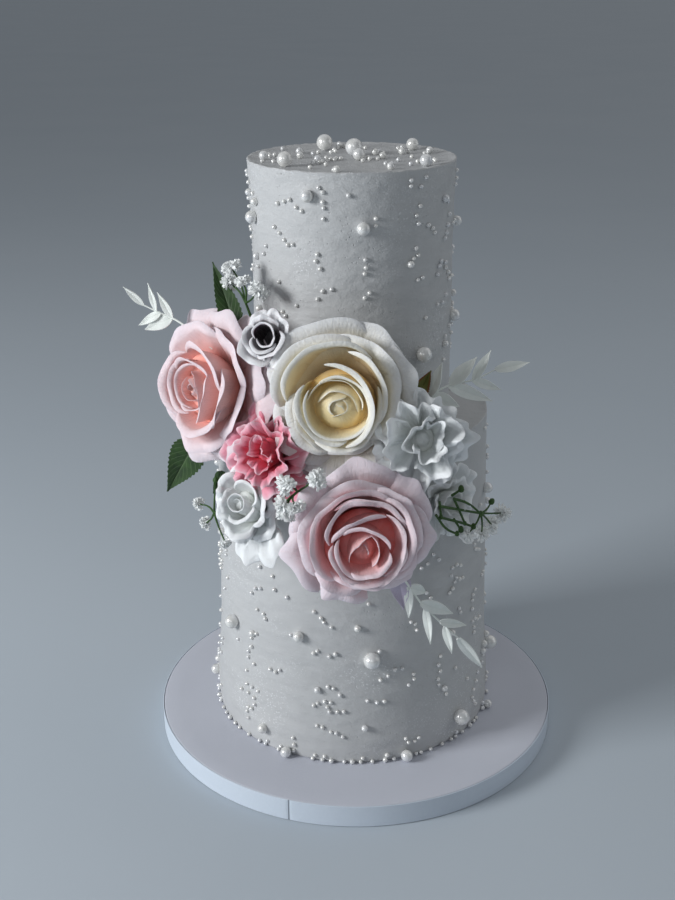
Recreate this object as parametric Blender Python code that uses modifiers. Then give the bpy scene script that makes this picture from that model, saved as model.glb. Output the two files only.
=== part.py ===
# Two-tier buttercream cake on a round drum, dressed with sugar pearls and a spray of silk flowers.
# Metres, +Z up. The origin lies on the tiers' axis at the drum's underside, and -Y is the dressed front.
import math
import random

import bmesh
import bpy
from mathutils import Matrix, Vector

MM = 0.001
GAP = 0.3 * MM
CUT_GAP = 0.45 * MM

# Drum: a nine inch board, half an inch thick, with a paper strip round its edge.
DRUM_RADIUS = 114.3 * MM
DRUM_THICKNESS = 12.7 * MM
DRUM_SHIFT = Vector((1.75 * MM, -2.8 * MM, 0))
DRUM_EDGE = 0.6 * MM
STRIP_THICKNESS = 0.4 * MM
STRIP_SEAM = math.radians(-21)
STRIP_SEAM_WIDTH = 0.4 * MM

# Tiers: height above the tier's foot and radius there, both in millimetres.
LOWER_HEIGHT = 178.4
UPPER_HEIGHT = 133.3
LOWER_SIDE = ((0, 79.0), (12, 79.4), (55, 76.6), (LOWER_HEIGHT - 1.2, 73.3))
UPPER_SIDE = ((0, 52.4), (90, 52.2), (UPPER_HEIGHT - 1.5, 53.5))
LOWER_FOOT = DRUM_THICKNESS + GAP
LOWER_TOP = LOWER_FOOT + LOWER_HEIGHT * MM
UPPER_FOOT = LOWER_TOP + GAP
UPPER_TOP = UPPER_FOOT + UPPER_HEIGHT * MM
TIER_STEPS = 48
DRUM_STEPS = 52
HAND_WAVE = 0.25 * MM

# Pearls of berry size: angle from the front in degrees, height and diameter in millimetres.
UPPER_PEARLS = ((-22.8, 313.6, 6.0), (5.8, 298.6, 6.7), (-67.8, 298.0, 6.5), (85.3, 292.7, 5.2),
                (77.6, 244.5, 6.3), (41.5, 232.0, 8.0), (128, 301, 6.4), (171, 252, 7.6), (-139, 283, 6.8))
LOWER_PEARLS = ((-57.0, 79.5, 7.9), (-21.3, 87.1, 5.8), (7.5, 76.1, 8.9), (-37.9, 24.2, 5.5),
                (47.1, 26.8, 8.9), (83.2, 47.3, 8.2), (-82.7, 29.4, 5.9), (75.0, 149.6, 6.0),
                (118, 96, 7.4), (146, 160, 6.2), (168, 44, 8.6), (-154, 118, 7.0), (-116, 64, 8.4))
# On the upper tier's top and on the drum: x, y and diameter in millimetres.
TOP_PEARLS = ((-14.5, 27.9, 8.5), (1.1, 7.2, 9.1), (3.5, -8.6, 6.3), (-32.7, -29.1, 7.8),
              (32.0, 26.5, 6.6), (36.3, -29.3, 6.3), (-44.5, -7.2, 5.0))
DRUM_PEARLS = ((-36.4, -74.0, 6.0), (29.5, -77.4, 6.5), (78.5, -24.8, 4.9))
PEARL_SEGMENTS = 7
PEARL_RINGS = 5

# Small pearls fused to the icing.
SMALL_PEARL = 2.3 * MM
MEDIUM_PEARL = 4.0 * MM
BASE_BEAD = 2.8 * MM
SMALL_SEGMENTS = 5
SMALL_RINGS = 4
SCATTER_SEED = 71

# A stem tapers to this far behind its bloom, and the icing trims it.
STEM_REACH = 75 * MM

WHITE_ICING = (0.70, 0.70, 0.72)
IVORY = (0.86, 0.85, 0.82)
PALE_PINK = (0.90, 0.70, 0.70)
CREAM = (0.92, 0.89, 0.80)
HOT_PINK = (0.80, 0.20, 0.30)
COOL_WHITE = (0.88, 0.91, 0.92)
SAGE = (0.78, 0.82, 0.75)
LEAF_GREEN = (0.05, 0.12, 0.05)
OLIVE = (0.30, 0.18, 0.07)
LILAC = (0.78, 0.72, 0.82)
PAPER = (0.74, 0.72, 0.78)
STRIP_BLUE = (0.80, 0.84, 0.92)


def clear_scene():
    for thing in list(bpy.data.objects):
        bpy.data.objects.remove(thing, do_unlink=True)


def new_collection(name):
    group = bpy.data.collections.new(name)
    bpy.context.scene.collection.children.link(group)
    return group


def material(name, colour, roughness, metallic=0.0):
    coat = bpy.data.materials.new(name)
    coat.use_nodes = True
    shader = coat.node_tree.nodes["Principled BSDF"]
    shader.inputs["Base Color"].default_value = (*colour, 1)
    shader.inputs["Roughness"].default_value = roughness
    shader.inputs["Metallic"].default_value = metallic
    return coat


def move_to(thing, group):
    for old in list(thing.users_collection):
        old.objects.unlink(thing)
    group.objects.link(thing)


def finish(thing, name, group, coat, sharp=50):
    thing.name = name
    thing.data.name = name
    move_to(thing, group)
    thing.data.materials.clear()
    thing.data.materials.append(coat)
    thing.data.shade_smooth()
    thing.data.set_sharp_from_angle(angle=math.radians(sharp))
    return thing


def add_mesh(name, mesh):
    thing = bpy.data.objects.new(name, mesh)
    bpy.context.scene.collection.objects.link(thing)
    return thing


def evaluated(thing, weld=0.0):
    # A plain mesh object with the modifiers of the given one applied, which it stands for.
    bpy.context.view_layer.update()
    graph = bpy.context.evaluated_depsgraph_get()
    mesh = bpy.data.meshes.new_from_object(thing.evaluated_get(graph))
    mesh.transform(thing.matrix_world)
    if weld:
        form = bmesh.new()
        form.from_mesh(mesh)
        bmesh.ops.remove_doubles(form, verts=form.verts, dist=weld)
        form.to_mesh(mesh)
        form.free()
    plain = add_mesh(thing.name + "_mesh", mesh)
    bpy.data.objects.remove(thing, do_unlink=True)
    return plain


def keep_largest(thing):
    form = bmesh.new()
    form.from_mesh(thing.data)
    unseen = set(form.verts)
    pieces = []
    while unseen:
        start = unseen.pop()
        piece = {start}
        edge = [start]
        while edge:
            corner = edge.pop()
            for link in corner.link_edges:
                other = link.other_vert(corner)
                if other in unseen:
                    unseen.discard(other)
                    piece.add(other)
                    edge.append(other)
        pieces.append(piece)
    pieces.sort(key=len)
    scraps = [corner for piece in pieces[:-1] for corner in piece]
    bmesh.ops.delete(form, geom=scraps, context="VERTS")
    form.to_mesh(thing.data)
    form.free()


def combine(thing, group, operation, solver="EXACT"):
    step = thing.modifiers.new("joined", "BOOLEAN")
    step.operation = operation
    step.operand_type = "COLLECTION"
    step.collection = group
    step.solver = solver
    joined = evaluated(thing)
    for used in list(group.objects):
        bpy.data.objects.remove(used, do_unlink=True)
    bpy.data.collections.remove(group)
    return joined


def union(pieces):
    first, *others = pieces
    if not others:
        return first
    group = new_collection("joining")
    for other in others:
        move_to(other, group)
    return combine(first, group, "UNION", "MANIFOLD")


def swollen(thing, distance):
    # The thing's closed surface moved outwards, for cutting a neighbour clear of it.
    mesh = thing.data.copy()
    form = bmesh.new()
    form.from_mesh(mesh)
    form.normal_update()
    moves = [(corner, corner.normal * min(corner.calc_shell_factor(), 1.6)) for corner in form.verts]
    for corner, way in moves:
        corner.co += way * distance
    form.to_mesh(mesh)
    form.free()
    return add_mesh("swollen", mesh)


def bounds(thing):
    corners = [thing.matrix_world @ corner.co for corner in thing.data.vertices]
    low = [min(corner[i] for corner in corners) for i in range(3)]
    high = [max(corner[i] for corner in corners) for i in range(3)]
    return low, high


def near(one, other, margin=0.001):
    (low, high), (low2, high2) = bounds(one), bounds(other)
    return all(low[i] - margin < high2[i] and low2[i] - margin < high[i] for i in range(3))


def cut_clear(thing, neighbours):
    # Takes the neighbours' space, and the gap round them, out of the thing.
    bpy.context.view_layer.update()
    for other in neighbours:
        if not near(thing, other):
            continue
        group = new_collection("cutting")
        for distance in (0.0, CUT_GAP):
            move_to(swollen(other, distance), group)
        thing = combine(thing, group, "DIFFERENCE", "MANIFOLD")
        keep_largest(thing)
    return thing


def side_radius(side, height):
    # Radius in metres of a tier's side at a height in millimetres above its foot.
    for (low, first), (high, second) in zip(side, side[1:]):
        if height <= high:
            share = max(0.0, (height - low) / (high - low))
            return (first + (second - first) * share) * MM
    return side[-1][1] * MM


def hand_wave(angle, z):
    # How far the smoothed icing stands off the true round, by angle and height.
    return HAND_WAVE * (math.sin(2 * angle + 23 * z) + 0.6 * math.sin(3 * angle - 41 * z + 1.3))


def at_angle(angle, radius, z):
    # The angle is measured from the front, towards +X.
    return Vector((radius * math.sin(angle), -radius * math.cos(angle), z))


def turned(name, profile, steps):
    # A solid turned about Z from radius and height pairs that run down the outer side.
    form = bmesh.new()
    corners = [form.verts.new((radius, 0, z)) for radius, z in profile]
    for start, end in zip(corners, corners[1:]):
        form.edges.new((start, end))
    mesh = bpy.data.meshes.new(name)
    form.to_mesh(mesh)
    form.free()
    thing = add_mesh(name, mesh)
    step = thing.modifiers.new("turn", "SCREW")
    step.steps = steps
    step.render_steps = steps
    step.use_merge_vertices = True
    step.merge_threshold = 0.00001
    return thing


def tier(name, side, foot, height, lip):
    top = foot + height * MM
    rim = side_radius(side, height)
    profile = [(0, top - 0.8 * MM), (rim - 9 * MM, top - 0.8 * MM), (rim - 0.5 * MM, top),
               (rim + lip, top - 0.5 * MM)]
    profile += [(radius * MM, foot + level * MM) for level, radius in reversed(side[1:])]
    profile += [(side[0][1] * MM, foot), (0, foot)]
    solid = evaluated(turned(name, profile, TIER_STEPS), 0.001 * MM)
    for corner in solid.data.vertices:
        flat = math.hypot(corner.co.x, corner.co.y)
        if flat > rim * 0.8:
            angle = math.atan2(corner.co.x, -corner.co.y)
            grown = 1 + hand_wave(angle, corner.co.z) / flat
            corner.co.x *= grown
            corner.co.y *= grown
    return solid


def ball(radius, place, segments, rings, turn=0.0):
    bpy.ops.mesh.primitive_uv_sphere_add(segments=segments, ring_count=rings, radius=radius)
    thing = bpy.context.object
    thing.data.transform(Matrix.Translation(place) @ Matrix.Rotation(turn, 4, "Y"))
    return thing


def behind_flowers(angle, z):
    # True on the stretch of the two tiers that the flowers and their stems cover.
    across = math.degrees(angle) / 78
    along = (z - 0.202) / 0.088
    return across * across + along * along < 1


def scattered(side, foot, height, count, large, draw):
    # Places of small pearls on a tier's side, one cluster's start to each cell of an even net.
    columns = 10
    rows = max(1, round(count / columns))
    found = []
    for row in range(rows):
        for column in range(columns):
            angle = math.radians((column + draw.uniform(0.15, 0.85) + 0.5 * (row % 2)) * 360 / columns)
            angle = (angle + math.pi) % (2 * math.pi) - math.pi
            level = (row + draw.uniform(0.2, 0.8)) / rows * (height - 22) + 12
            z = foot + level * MM
            if behind_flowers(angle, z):
                continue
            size = MEDIUM_PEARL if draw.random() < 0.2 else SMALL_PEARL
            place = at_angle(angle, side_radius(side, level) + hand_wave(angle, z) + 0.25 * size, z)
            if all((place - centre).length > radius + size for centre, radius in large):
                found.append((place, size / 2))
    return found


def base_beads(large):
    # A loose row of beads where the lower tier meets the drum, with the open places of a hand-laid row.
    found = []
    draw = random.Random(SCATTER_SEED + 5)
    count = 12
    size = BASE_BEAD
    for turn in range(count):
        angle = math.radians((turn + draw.uniform(-0.25, 0.25)) * 360 / count)
        z = LOWER_FOOT + size * 0.52
        place = at_angle(angle, side_radius(LOWER_SIDE, size / 2 / MM) + hand_wave(angle, z) + 0.2 * size, z)
        if all((place - centre).length > radius + size for centre, radius in large):
            found.append((place, size / 2))
    return found


def top_scatter(large):
    found = []
    draw = random.Random(SCATTER_SEED + 9)
    z = UPPER_TOP - 0.8 * MM
    for turn in range(13):
        reach = math.sqrt((turn + 0.5) / 13) * 42 * MM
        angle = turn * math.radians(137.5) + draw.uniform(-0.3, 0.3)
        size = MEDIUM_PEARL if turn % 3 == 0 else SMALL_PEARL
        place = at_angle(angle, reach, z + 0.25 * size)
        if all((place - centre).length > radius + size for centre, radius in large):
            found.append((place, size / 2))
    return found


def fuse_pearls(solid, spots):
    group = new_collection("joining")
    for number, (place, radius) in enumerate(spots):
        move_to(ball(radius, place, SMALL_SEGMENTS, SMALL_RINGS, 0.7 * number), group)
    return combine(solid, group, "UNION", "MANIFOLD")


def large_pearl_spots():
    # Every pearl of berry size, by name: its centre and radius.
    spots = {}
    tiers = (("upper", UPPER_PEARLS, UPPER_SIDE, UPPER_FOOT), ("lower", LOWER_PEARLS, LOWER_SIDE, LOWER_FOOT))
    for tier_name, rows, side, foot in tiers:
        for number, (degrees, level, size) in enumerate(rows, 1):
            angle = math.radians(degrees)
            z = level * MM
            radius = size / 2 * MM
            reach = side_radius(side, (z - foot) / MM) + hand_wave(angle, z) + radius + GAP
            spots[f"pearl_{tier_name}_{number:02d}"] = (at_angle(angle, reach, z), radius)
    for number, (x, y, size) in enumerate(TOP_PEARLS, 1):
        rest = UPPER_TOP - 0.8 * MM + GAP
        spots[f"pearl_top_{number:02d}"] = (Vector((x * MM, y * MM, rest + size / 2 * MM)), size / 2 * MM)
    for number, (x, y, size) in enumerate(DRUM_PEARLS, 1):
        angle = math.atan2(x, -y)
        radius = size / 2 * MM
        z = DRUM_THICKNESS + GAP + radius
        clear = side_radius(LOWER_SIDE, radius / MM) + hand_wave(angle, z) + radius + GAP
        reach = max(math.hypot(x, y) * MM, clear)
        spots[f"pearl_drum_{number:02d}"] = (at_angle(angle, reach, z), radius)
    return spots


def facing(centre, azimuth, elevation):
    # A frame at the centre in millimetres whose +Z looks out along the azimuth from the front.
    turn, rise = math.radians(azimuth), math.radians(elevation)
    axis = Vector((math.sin(turn) * math.cos(rise), -math.cos(turn) * math.cos(rise), math.sin(rise)))
    up = Vector((-math.sin(turn) * math.sin(rise), math.cos(turn) * math.sin(rise), math.cos(rise)))
    frame = Matrix((up.cross(axis), up, axis)).transposed().to_4x4()
    return Matrix.Translation(Vector(centre) * MM) @ frame


def flower_solid(place, circles, front, segments, lean=(0, 0)):
    # A closed bloom: circles run from the heart over the petals' rims to the calyx. Each has a radius,
    # a height along the bloom's axis, its petals, their phase, and how far lobes, spiral and dips go.
    rings = len(circles) + 1
    bpy.ops.mesh.primitive_uv_sphere_add(segments=segments, ring_count=rings, radius=1)
    thing = bpy.context.object
    widest = max(circle[0] for circle in circles)
    rim = max(range(len(circles)), key=lambda i: circles[i][0])
    for corner in thing.data.vertices:
        ring = round(math.acos(max(-1, min(1, corner.co.z))) / math.pi * rings)
        if ring == 0:
            corner.co = (-lean[0] * MM, -lean[1] * MM, front * MM)
            continue
        if ring == rings:
            corner.co = (0, 0, -STEM_REACH)
            continue
        radius, height, petals, phase, lobe, spiral, dip = circles[ring - 1]
        angle = math.atan2(corner.co.y, corner.co.x)
        share = (petals * (angle - math.radians(phase)) / (2 * math.pi)) % 1
        arch = 4 * share * (1 - share)
        reach = radius * (1 + lobe * (arch - 0.7) + spiral * (share - 0.5))
        shift = 1 - radius / widest if ring - 1 <= rim else 0
        corner.co = ((reach * math.cos(angle) - lean[0] * shift) * MM,
                     (reach * math.sin(angle) - lean[1] * shift) * MM,
                     (height - dip * (1 - arch)) * MM)
    thing.data.transform(place)
    return thing


def rose_circles(size, phase):
    # A full rose: bud, three cupped rings, a flared ring and a pointed outer ring, then calyx and stem.
    grown = size / 36
    return [
        (4.2 * grown, 12.5 * grown, 2, phase, 0.10, 0.30, 1.0),
        (7.6 * grown, 5.0 * grown, 2, phase, 0.0, 0.0, 0.0),
        (12.6 * grown, 14.0 * grown, 3, phase + 40, 0.10, 0.16, 2.0),
        (15.0 * grown, 5.0 * grown, 3, phase + 40, 0.06, 0.12, 0.0),
        (20.4 * grown, 13.0 * grown, 3, phase + 100, 0.10, 0.14, 2.4),
        (22.6 * grown, 4.0 * grown, 3, phase + 100, 0.06, 0.10, 0.0),
        (28.6 * grown, 9.0 * grown, 4, phase + 20, 0.10, 0.10, 3.0),
        (30.4 * grown, 1.5 * grown, 5, phase + 20, 0.04, 0.0, 0.0),
        (36.0 * grown, 1.0 * grown, 5, phase, 0.16, 0.05, 2.5),
        (36.0 * grown, -0.6 * grown, 5, phase, 0.16, 0.05, 2.5),
        (18.0 * grown, -9.0 * grown, 5, phase, 0.0, 0.0, 0.0),
        (3.4, -16.0 * grown, 5, phase, 0.0, 0.0, 0.0),
    ]


def ruffle_circles(size, phase, petals, deep):
    # A loose ruffled bloom: a small coiled heart and two rings of wide wavy petals.
    grown = size / 20
    return [
        (3.2 * grown, 7.0 * grown, 2, phase, 0.10, 0.40, 0.5),
        (5.6 * grown, 2.5 * grown, 2, phase, 0.0, 0.2, 0.0),
        (11.0 * grown, 7.5 * grown, petals - 2, phase + 50, 0.22, 0.20, deep * 0.7),
        (12.6 * grown, 1.5 * grown, petals - 2, phase + 50, 0.10, 0.1, 0.0),
        (19.0 * grown, 3.5 * grown, petals, phase, 0.30, 0.10, deep),
        (20.0 * grown, 1.5 * grown, petals, phase, 0.30, 0.10, deep),
        (9.0 * grown, -6.0 * grown, petals, phase, 0.0, 0.0, 0.0),
        (2.4, -12.0 * grown, petals, phase, 0.0, 0.0, 0.0),
    ]


def carnation_circles(size, phase):
    # A full domed bloom of many short frilled petals.
    grown = size / 22
    return [
        (3.4 * grown, 9.0 * grown, 3, phase, 0.2, 0.4, 2.0),
        (5.5 * grown, 5.0 * grown, 3, phase, 0.1, 0.2, 0.0),
        (9.0 * grown, 9.5 * grown, 5, phase + 30, 0.25, 0.25, 3.0),
        (11.0 * grown, 4.0 * grown, 5, phase + 30, 0.1, 0.1, 0.0),
        (15.0 * grown, 7.0 * grown, 7, phase, 0.22, 0.2, 3.0),
        (17.0 * grown, 1.5 * grown, 7, phase, 0.1, 0.1, 0.0),
        (22.0 * grown, 1.0 * grown, 8, phase + 20, 0.20, 0.1, 2.0),
        (22.0 * grown, -1.0 * grown, 8, phase + 20, 0.20, 0.1, 2.0),
        (9.0 * grown, -8.0 * grown, 8, phase, 0.0, 0.0, 0.0),
        (2.4, -13.0 * grown, 8, phase, 0.0, 0.0, 0.0),
    ]


def bud_circles(size, phase):
    # A half-open bud: a hollow heart inside two rings of upright petals.
    grown = size / 10
    return [
        (2.2 * grown, 1.5 * grown, 3, phase, 0.0, 0.0, 0.0),
        (4.6 * grown, 7.5 * grown, 3, phase, 0.12, 0.15, 0.8),
        (6.0 * grown, 4.5 * grown, 3, phase, 0.0, 0.0, 0.0),
        (8.4 * grown, 6.0 * grown, 4, phase + 40, 0.12, 0.15, 1.0),
        (9.6 * grown, 1.5 * grown, 4, phase + 40, 0.1, 0.0, 0.0),
        (7.6 * grown, -5.0 * grown, 4, phase + 40, 0.0, 0.0, 0.0),
        (2.2, -10.0 * grown, 4, phase, 0.0, 0.0, 0.0),
    ]


def blade(length, width, thickness, long_steps, cross_steps, fold, bend, wave, blunt=0.55):
    # A leaf from the origin along +Y, its upper face looking along +Z.
    bpy.ops.mesh.primitive_grid_add(x_subdivisions=cross_steps, y_subdivisions=long_steps, size=2)
    thing = bpy.context.object
    for corner in thing.data.vertices:
        along = (corner.co.y + 1) / 2
        side = corner.co.x
        plump = math.sin(math.pi * min(1.0, along * 0.93 + 0.07) ** blunt)
        half = width / 2 * max(0.07, plump)
        corner.co = (side * half * MM, along * length * MM,
                     (fold * abs(side) * half + bend * along * along * length
                      + wave * math.sin(7 * along + 2 * side) * (1 - 0.4 * along)) * MM)
    split = thing.modifiers.new("split", "TRIANGULATE")
    split.quad_method = "FIXED"
    thick = thing.modifiers.new("thick", "SOLIDIFY")
    thick.thickness = thickness * MM
    thick.offset = 0
    return evaluated(thing)


def aim(base, tip, facing_way):
    # A frame at the base whose +Y points at the tip and whose +Z leans to the facing way.
    along = (Vector(tip) - Vector(base)).normalized()
    across = along.cross(Vector(facing_way)).normalized()
    frame = Matrix((across, along, across.cross(along))).transposed().to_4x4()
    return Matrix.Translation(Vector(base) * MM) @ frame


def leaf(base, tip, width, look=(0, -1, 0.3), fold=0.25, bend=0.05, wave=0.6, steps=(5, 2), blunt=0.55):
    length = (Vector(tip) - Vector(base)).length
    thing = blade(length, width, 0.7, steps[0], steps[1], fold, bend, wave, blunt)
    thing.data.transform(aim(base, tip, look))
    return thing


def twig(points, thickness):
    line = bpy.data.curves.new("twig", "CURVE")
    line.dimensions = "3D"
    line.bevel_depth = thickness / 2 * MM
    line.bevel_resolution = 0
    line.use_fill_caps = True
    spline = line.splines.new("POLY")
    spline.points.add(len(points) - 1)
    for point, spot in zip(spline.points, points):
        point.co = (*(Vector(spot) * MM), 1)
    thing = bpy.data.objects.new("twig", line)
    bpy.context.scene.collection.objects.link(thing)
    return evaluated(thing, 0.001 * MM)


def spray(stem, leaves, look):
    # A stem with pointed leaves: each leaf has its base, its tip and its width.
    pieces = [twig(stem, 1.2)]
    for base, tip, width in leaves:
        pieces.append(leaf(base, tip, width, look, 0.2, 0.03, 0.2, (3, 1), 0.8))
    return union(pieces)


def floret_sprig(root, fork, florets):
    # Round florets on thin twigs that part at a fork, which one twig joins to its root.
    pieces = [twig((root, fork), 1.3)]
    for spot, size in florets:
        pieces.append(twig((fork, spot), 1.1))
        tuft = ball(size / 2 * MM, (0, 0, 0), 5, 4)
        for corner in tuft.data.vertices:
            corner.co *= 1.1 if corner.index % 2 else 0.86
        tuft.data.transform(Matrix.Translation(Vector(spot) * MM))
        pieces.append(tuft)
    return union(pieces)


def build_drum(group):
    edge = DRUM_RADIUS - STRIP_THICKNESS - GAP
    bpy.ops.mesh.primitive_cylinder_add(vertices=DRUM_STEPS, radius=edge, depth=DRUM_THICKNESS,
                                        location=DRUM_SHIFT + Vector((0, 0, DRUM_THICKNESS / 2)))
    drum = bpy.context.object
    rounded = drum.modifiers.new("rounded", "BEVEL")
    rounded.width = DRUM_EDGE
    rounded.segments = 1
    rounded.limit_method = "ANGLE"
    finish(drum, "cake_drum", group, material("drum_paper", PAPER, 0.7))
    bpy.ops.mesh.primitive_cylinder_add(vertices=DRUM_STEPS, radius=DRUM_RADIUS, depth=DRUM_THICKNESS - GAP,
                                        end_fill_type="NOTHING",
                                        location=DRUM_SHIFT + Vector((0, 0, (DRUM_THICKNESS + GAP) / 2)))
    strip = bpy.context.object
    seam_angle = STRIP_SEAM - math.pi / 2
    strip.rotation_euler.z = seam_angle - math.pi / DRUM_STEPS
    thick = strip.modifiers.new("thick", "SOLIDIFY")
    thick.thickness = STRIP_THICKNESS
    thick.offset = -1
    bpy.ops.mesh.primitive_cube_add(size=1)
    seam = bpy.context.object
    seam.scale = (6 * MM, STRIP_SEAM_WIDTH, 3 * DRUM_THICKNESS)
    seam.rotation_euler.z = seam_angle
    seam.location = DRUM_SHIFT + DRUM_RADIUS * Vector((math.cos(seam_angle), math.sin(seam_angle), 0))
    cutters = new_collection("strip_cut")
    move_to(seam, cutters)
    strip = combine(strip, cutters, "DIFFERENCE")
    finish(strip, "drum_edge_strip", group, material("strip_paper", STRIP_BLUE, 0.35))


def build_tiers(group):
    icing = material("buttercream", WHITE_ICING, 0.5)
    large = list(large_pearl_spots().values())
    draw = random.Random(SCATTER_SEED)
    lower = tier("lower_tier", LOWER_SIDE, LOWER_FOOT, LOWER_HEIGHT, 0)
    upper = tier("upper_tier", UPPER_SIDE, UPPER_FOOT, UPPER_HEIGHT, 0.3 * MM)
    bare = [swollen(lower, 0), swollen(upper, 0)]
    lower_spots = scattered(LOWER_SIDE, LOWER_FOOT, LOWER_HEIGHT, 30, large, draw) + base_beads(large)
    upper_spots = scattered(UPPER_SIDE, UPPER_FOOT, UPPER_HEIGHT, 20, large, draw) + top_scatter(large)
    finish(fuse_pearls(lower, lower_spots), "lower_tier", group, icing, 35)
    finish(fuse_pearls(upper, upper_spots), "upper_tier", group, icing, 35)
    return bare


def build_pearls(group):
    lustre = material("pearl", IVORY, 0.25)
    for name, (place, radius) in large_pearl_spots().items():
        finish(ball(radius, place, PEARL_SEGMENTS, PEARL_RINGS), name, group, lustre, 180)


def build_flowers(group, tiers):
    # Blooms in the order in which each is fitted clear of those before it.
    blooms = [
        ("rose_cream", CREAM, flower_solid(facing((-3.2, -84, 226), -4, 12), rose_circles(36, 60),
                                           10, 30, (2.5, 8))),
        ("rose_pink_low", PALE_PINK, flower_solid(facing((2.5, -110, 164), 2, 16), rose_circles(36.8, 25),
                                                  10, 30, (-2.3, 8))),
        ("rose_pink_left", PALE_PINK, flower_solid(facing((-71.6, -54.5, 219.8), -45, 8),
                                                   rose_circles(39.5, 0), 11, 30)),
        ("flower_white_left", COOL_WHITE, flower_solid(facing((-50, -80, 161), -24, 18),
                                                       ruffle_circles(22, 100, 5, 5), 6, 24, (0, -3))),
        ("flower_white_right", COOL_WHITE, flower_solid(facing((39, -78, 202), 26, 16),
                                                        ruffle_circles(22, 20, 6, 5), 6, 22)),
        ("flower_white_low", COOL_WHITE, flower_solid(facing((48, -67, 163), 34, 6),
                                                      ruffle_circles(20, 60, 5, 4), 6, 22)),
        ("carnation", HOT_PINK, flower_solid(facing((-38, -79, 196), -24, 12), carnation_circles(23, 15), 8, 21)),
        ("rosebud_white", COOL_WHITE, flower_solid(facing((-45, -58, 245.5), -28, 24), bud_circles(12, 10),
                                                   1, 16)),
    ]
    done = []
    for name, colour, solid in blooms:
        solid = cut_clear(solid, tiers + done)
        finish(solid, name, group, material(name, colour, 0.7), 40)
        done.append(solid)
    return done


def build_greens(group, tiers, blooms):
    sprays = (
        ("spray_left", ((-84, -38, 246), (-91.5, -34, 249.5), (-97.2, -33, 251.7), (-106.4, -31, 255.6)),
         (((-106, -31, 255.4), (-115.8, -30, 264.7), 3.6), ((-99.4, -33, 252.8), (-102.9, -31, 266.9), 3.4),
          ((-91.3, -34, 249.4), (-98.3, -32, 262.4), 4.4), ((-97.3, -33, 251.8), (-108.8, -31, 244.6), 4.8),
          ((-91.5, -34, 249.4), (-105.4, -33, 242.9), 7.6))),
        ("spray_right", ((34, -58, 209), (39.5, -54, 214.2), (48.8, -51, 218.9), (61.2, -46, 220), (73.1, -41, 223.9)),
         (((72.8, -41, 223.8), (90.6, -36, 226), 5.6), ((61.4, -46, 220), (70.3, -42, 234.4), 5.2),
          ((49.5, -51, 219), (62.8, -47, 232.3), 7.6), ((39, -54, 214), (45.1, -53, 231.5), 6.4),
          ((61, -46, 220), (75.7, -42, 213.5), 5.0), ((48.6, -51, 218.8), (71.1, -46, 208.8), 6.8),
          ((39.6, -54, 214.4), (54, -54, 208.6), 7.6))),
        ("spray_low", ((22, -104, 142), (27.5, -99, 131.6), (34.4, -94, 118.7), (43.7, -86, 104.6), (55.6, -76, 88)),
         (((55.4, -76.4, 88.4), (69.9, -62, 63), 6.6), ((28.1, -98.6, 130.2), (28.6, -96.5, 112), 5.0),
          ((28.1, -98.6, 130.2), (36.8, -92.5, 124), 6.2), ((34.4, -94, 118.9), (51, -84.5, 107.9), 7.0),
          ((37, -92, 114.8), (40.3, -89, 92.8), 4.8), ((44.9, -85, 102.8), (58.8, -77, 96.7), 4.8),
          ((47.6, -82.8, 99), (52, -80, 82), 4.8))),
    )
    leaves = (
        ("leaf_top", (-58.5, -42, 247), (-69.8, -30, 277), 11.5, LEAF_GREEN),
        ("leaf_left", (-80, -40, 184), (-97, -29, 152.5), 18.5, LEAF_GREEN),
        ("leaf_left_small", (-66.4, -60, 176), (-71.6, -55, 162), 5.0, LEAF_GREEN),
        ("leaf_middle", (-40.5, -70, 216), (-41, -62, 238), 6.5, LEAF_GREEN),
        ("leaf_olive", (32, -56, 214), (39.5, -52, 227), 8.5, OLIVE),
        ("petal_lilac", (23, -98, 136), (25.6, -96, 117), 11.0, LILAC),
    )
    sprigs = (
        ("gypsophila_top", (-50, -41, 250), (-53, -41, 259),
         (((-59.9, -34, 275.1), 9), ((-61.2, -34, 267.2), 9.4), ((-54.2, -40, 269.4), 7), ((-46.5, -45, 266), 10))),
        ("gypsophila_middle", (-24, -95, 181), (-25.5, -108.5, 186),
         (((-30.8, -109, 190.2), 9), ((-16.1, -114, 195.1), 9), ((-32.4, -110, 180.6), 9),
          ((-24.8, -112, 179.6), 8.4))),
        ("gypsophila_left", (-64, -66, 158), (-72, -54, 150),
         (((-81.9, -38, 147.9), 6.2), ((-77.6, -46, 140.4), 6.2), ((-64.6, -72, 141), 4.8))),
        ("gypsophila_right", (42, -94, 168), (60, -68, 154),
         (((79.1, -40, 144.1), 7.4), ((72.1, -48, 141.6), 7.2), ((60, -66, 142.4), 7.6),
          ((63.9, -66, 163.7), 4.0), ((75.8, -48, 152.9), 3.6))),
    )
    sage = material("sage_leaf", SAGE, 0.7)
    tuft = material("gypsophila", COOL_WHITE, 0.8)
    made = []
    for name, root, fork, florets in sprigs:
        made.append((name, floret_sprig(root, fork, florets), tuft))
    for name, base, tip, width, colour in leaves:
        made.append((name, leaf(base, tip, width), material(name, colour, 0.6)))
    for name, stem, blades in sprays:
        made.append((name, spray(stem, blades, (0.1, -1, 0.35)), sage))
    done = []
    for name, solid, coat in made:
        solid = cut_clear(solid, tiers + blooms + done)
        finish(solid, name, group, coat, 40)
        done.append(solid)


def main():
    clear_scene()
    cake = new_collection("tiered_cake")
    build_drum(cake)
    tiers = build_tiers(cake)
    build_pearls(cake)
    blooms = build_flowers(cake, tiers)
    build_greens(cake, tiers, blooms)
    for bare in tiers:
        bpy.data.objects.remove(bare, do_unlink=True)


main()
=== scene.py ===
# Looks for a two-tier buttercream cake on its drum, with sugar pearls and a spray of silk flowers.
# Metres, +Z up. -Y is the dressed front, and the origin lies under the middle of the tiers.
import math
import random

import bpy
from mathutils import Matrix, Vector, noise


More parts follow.
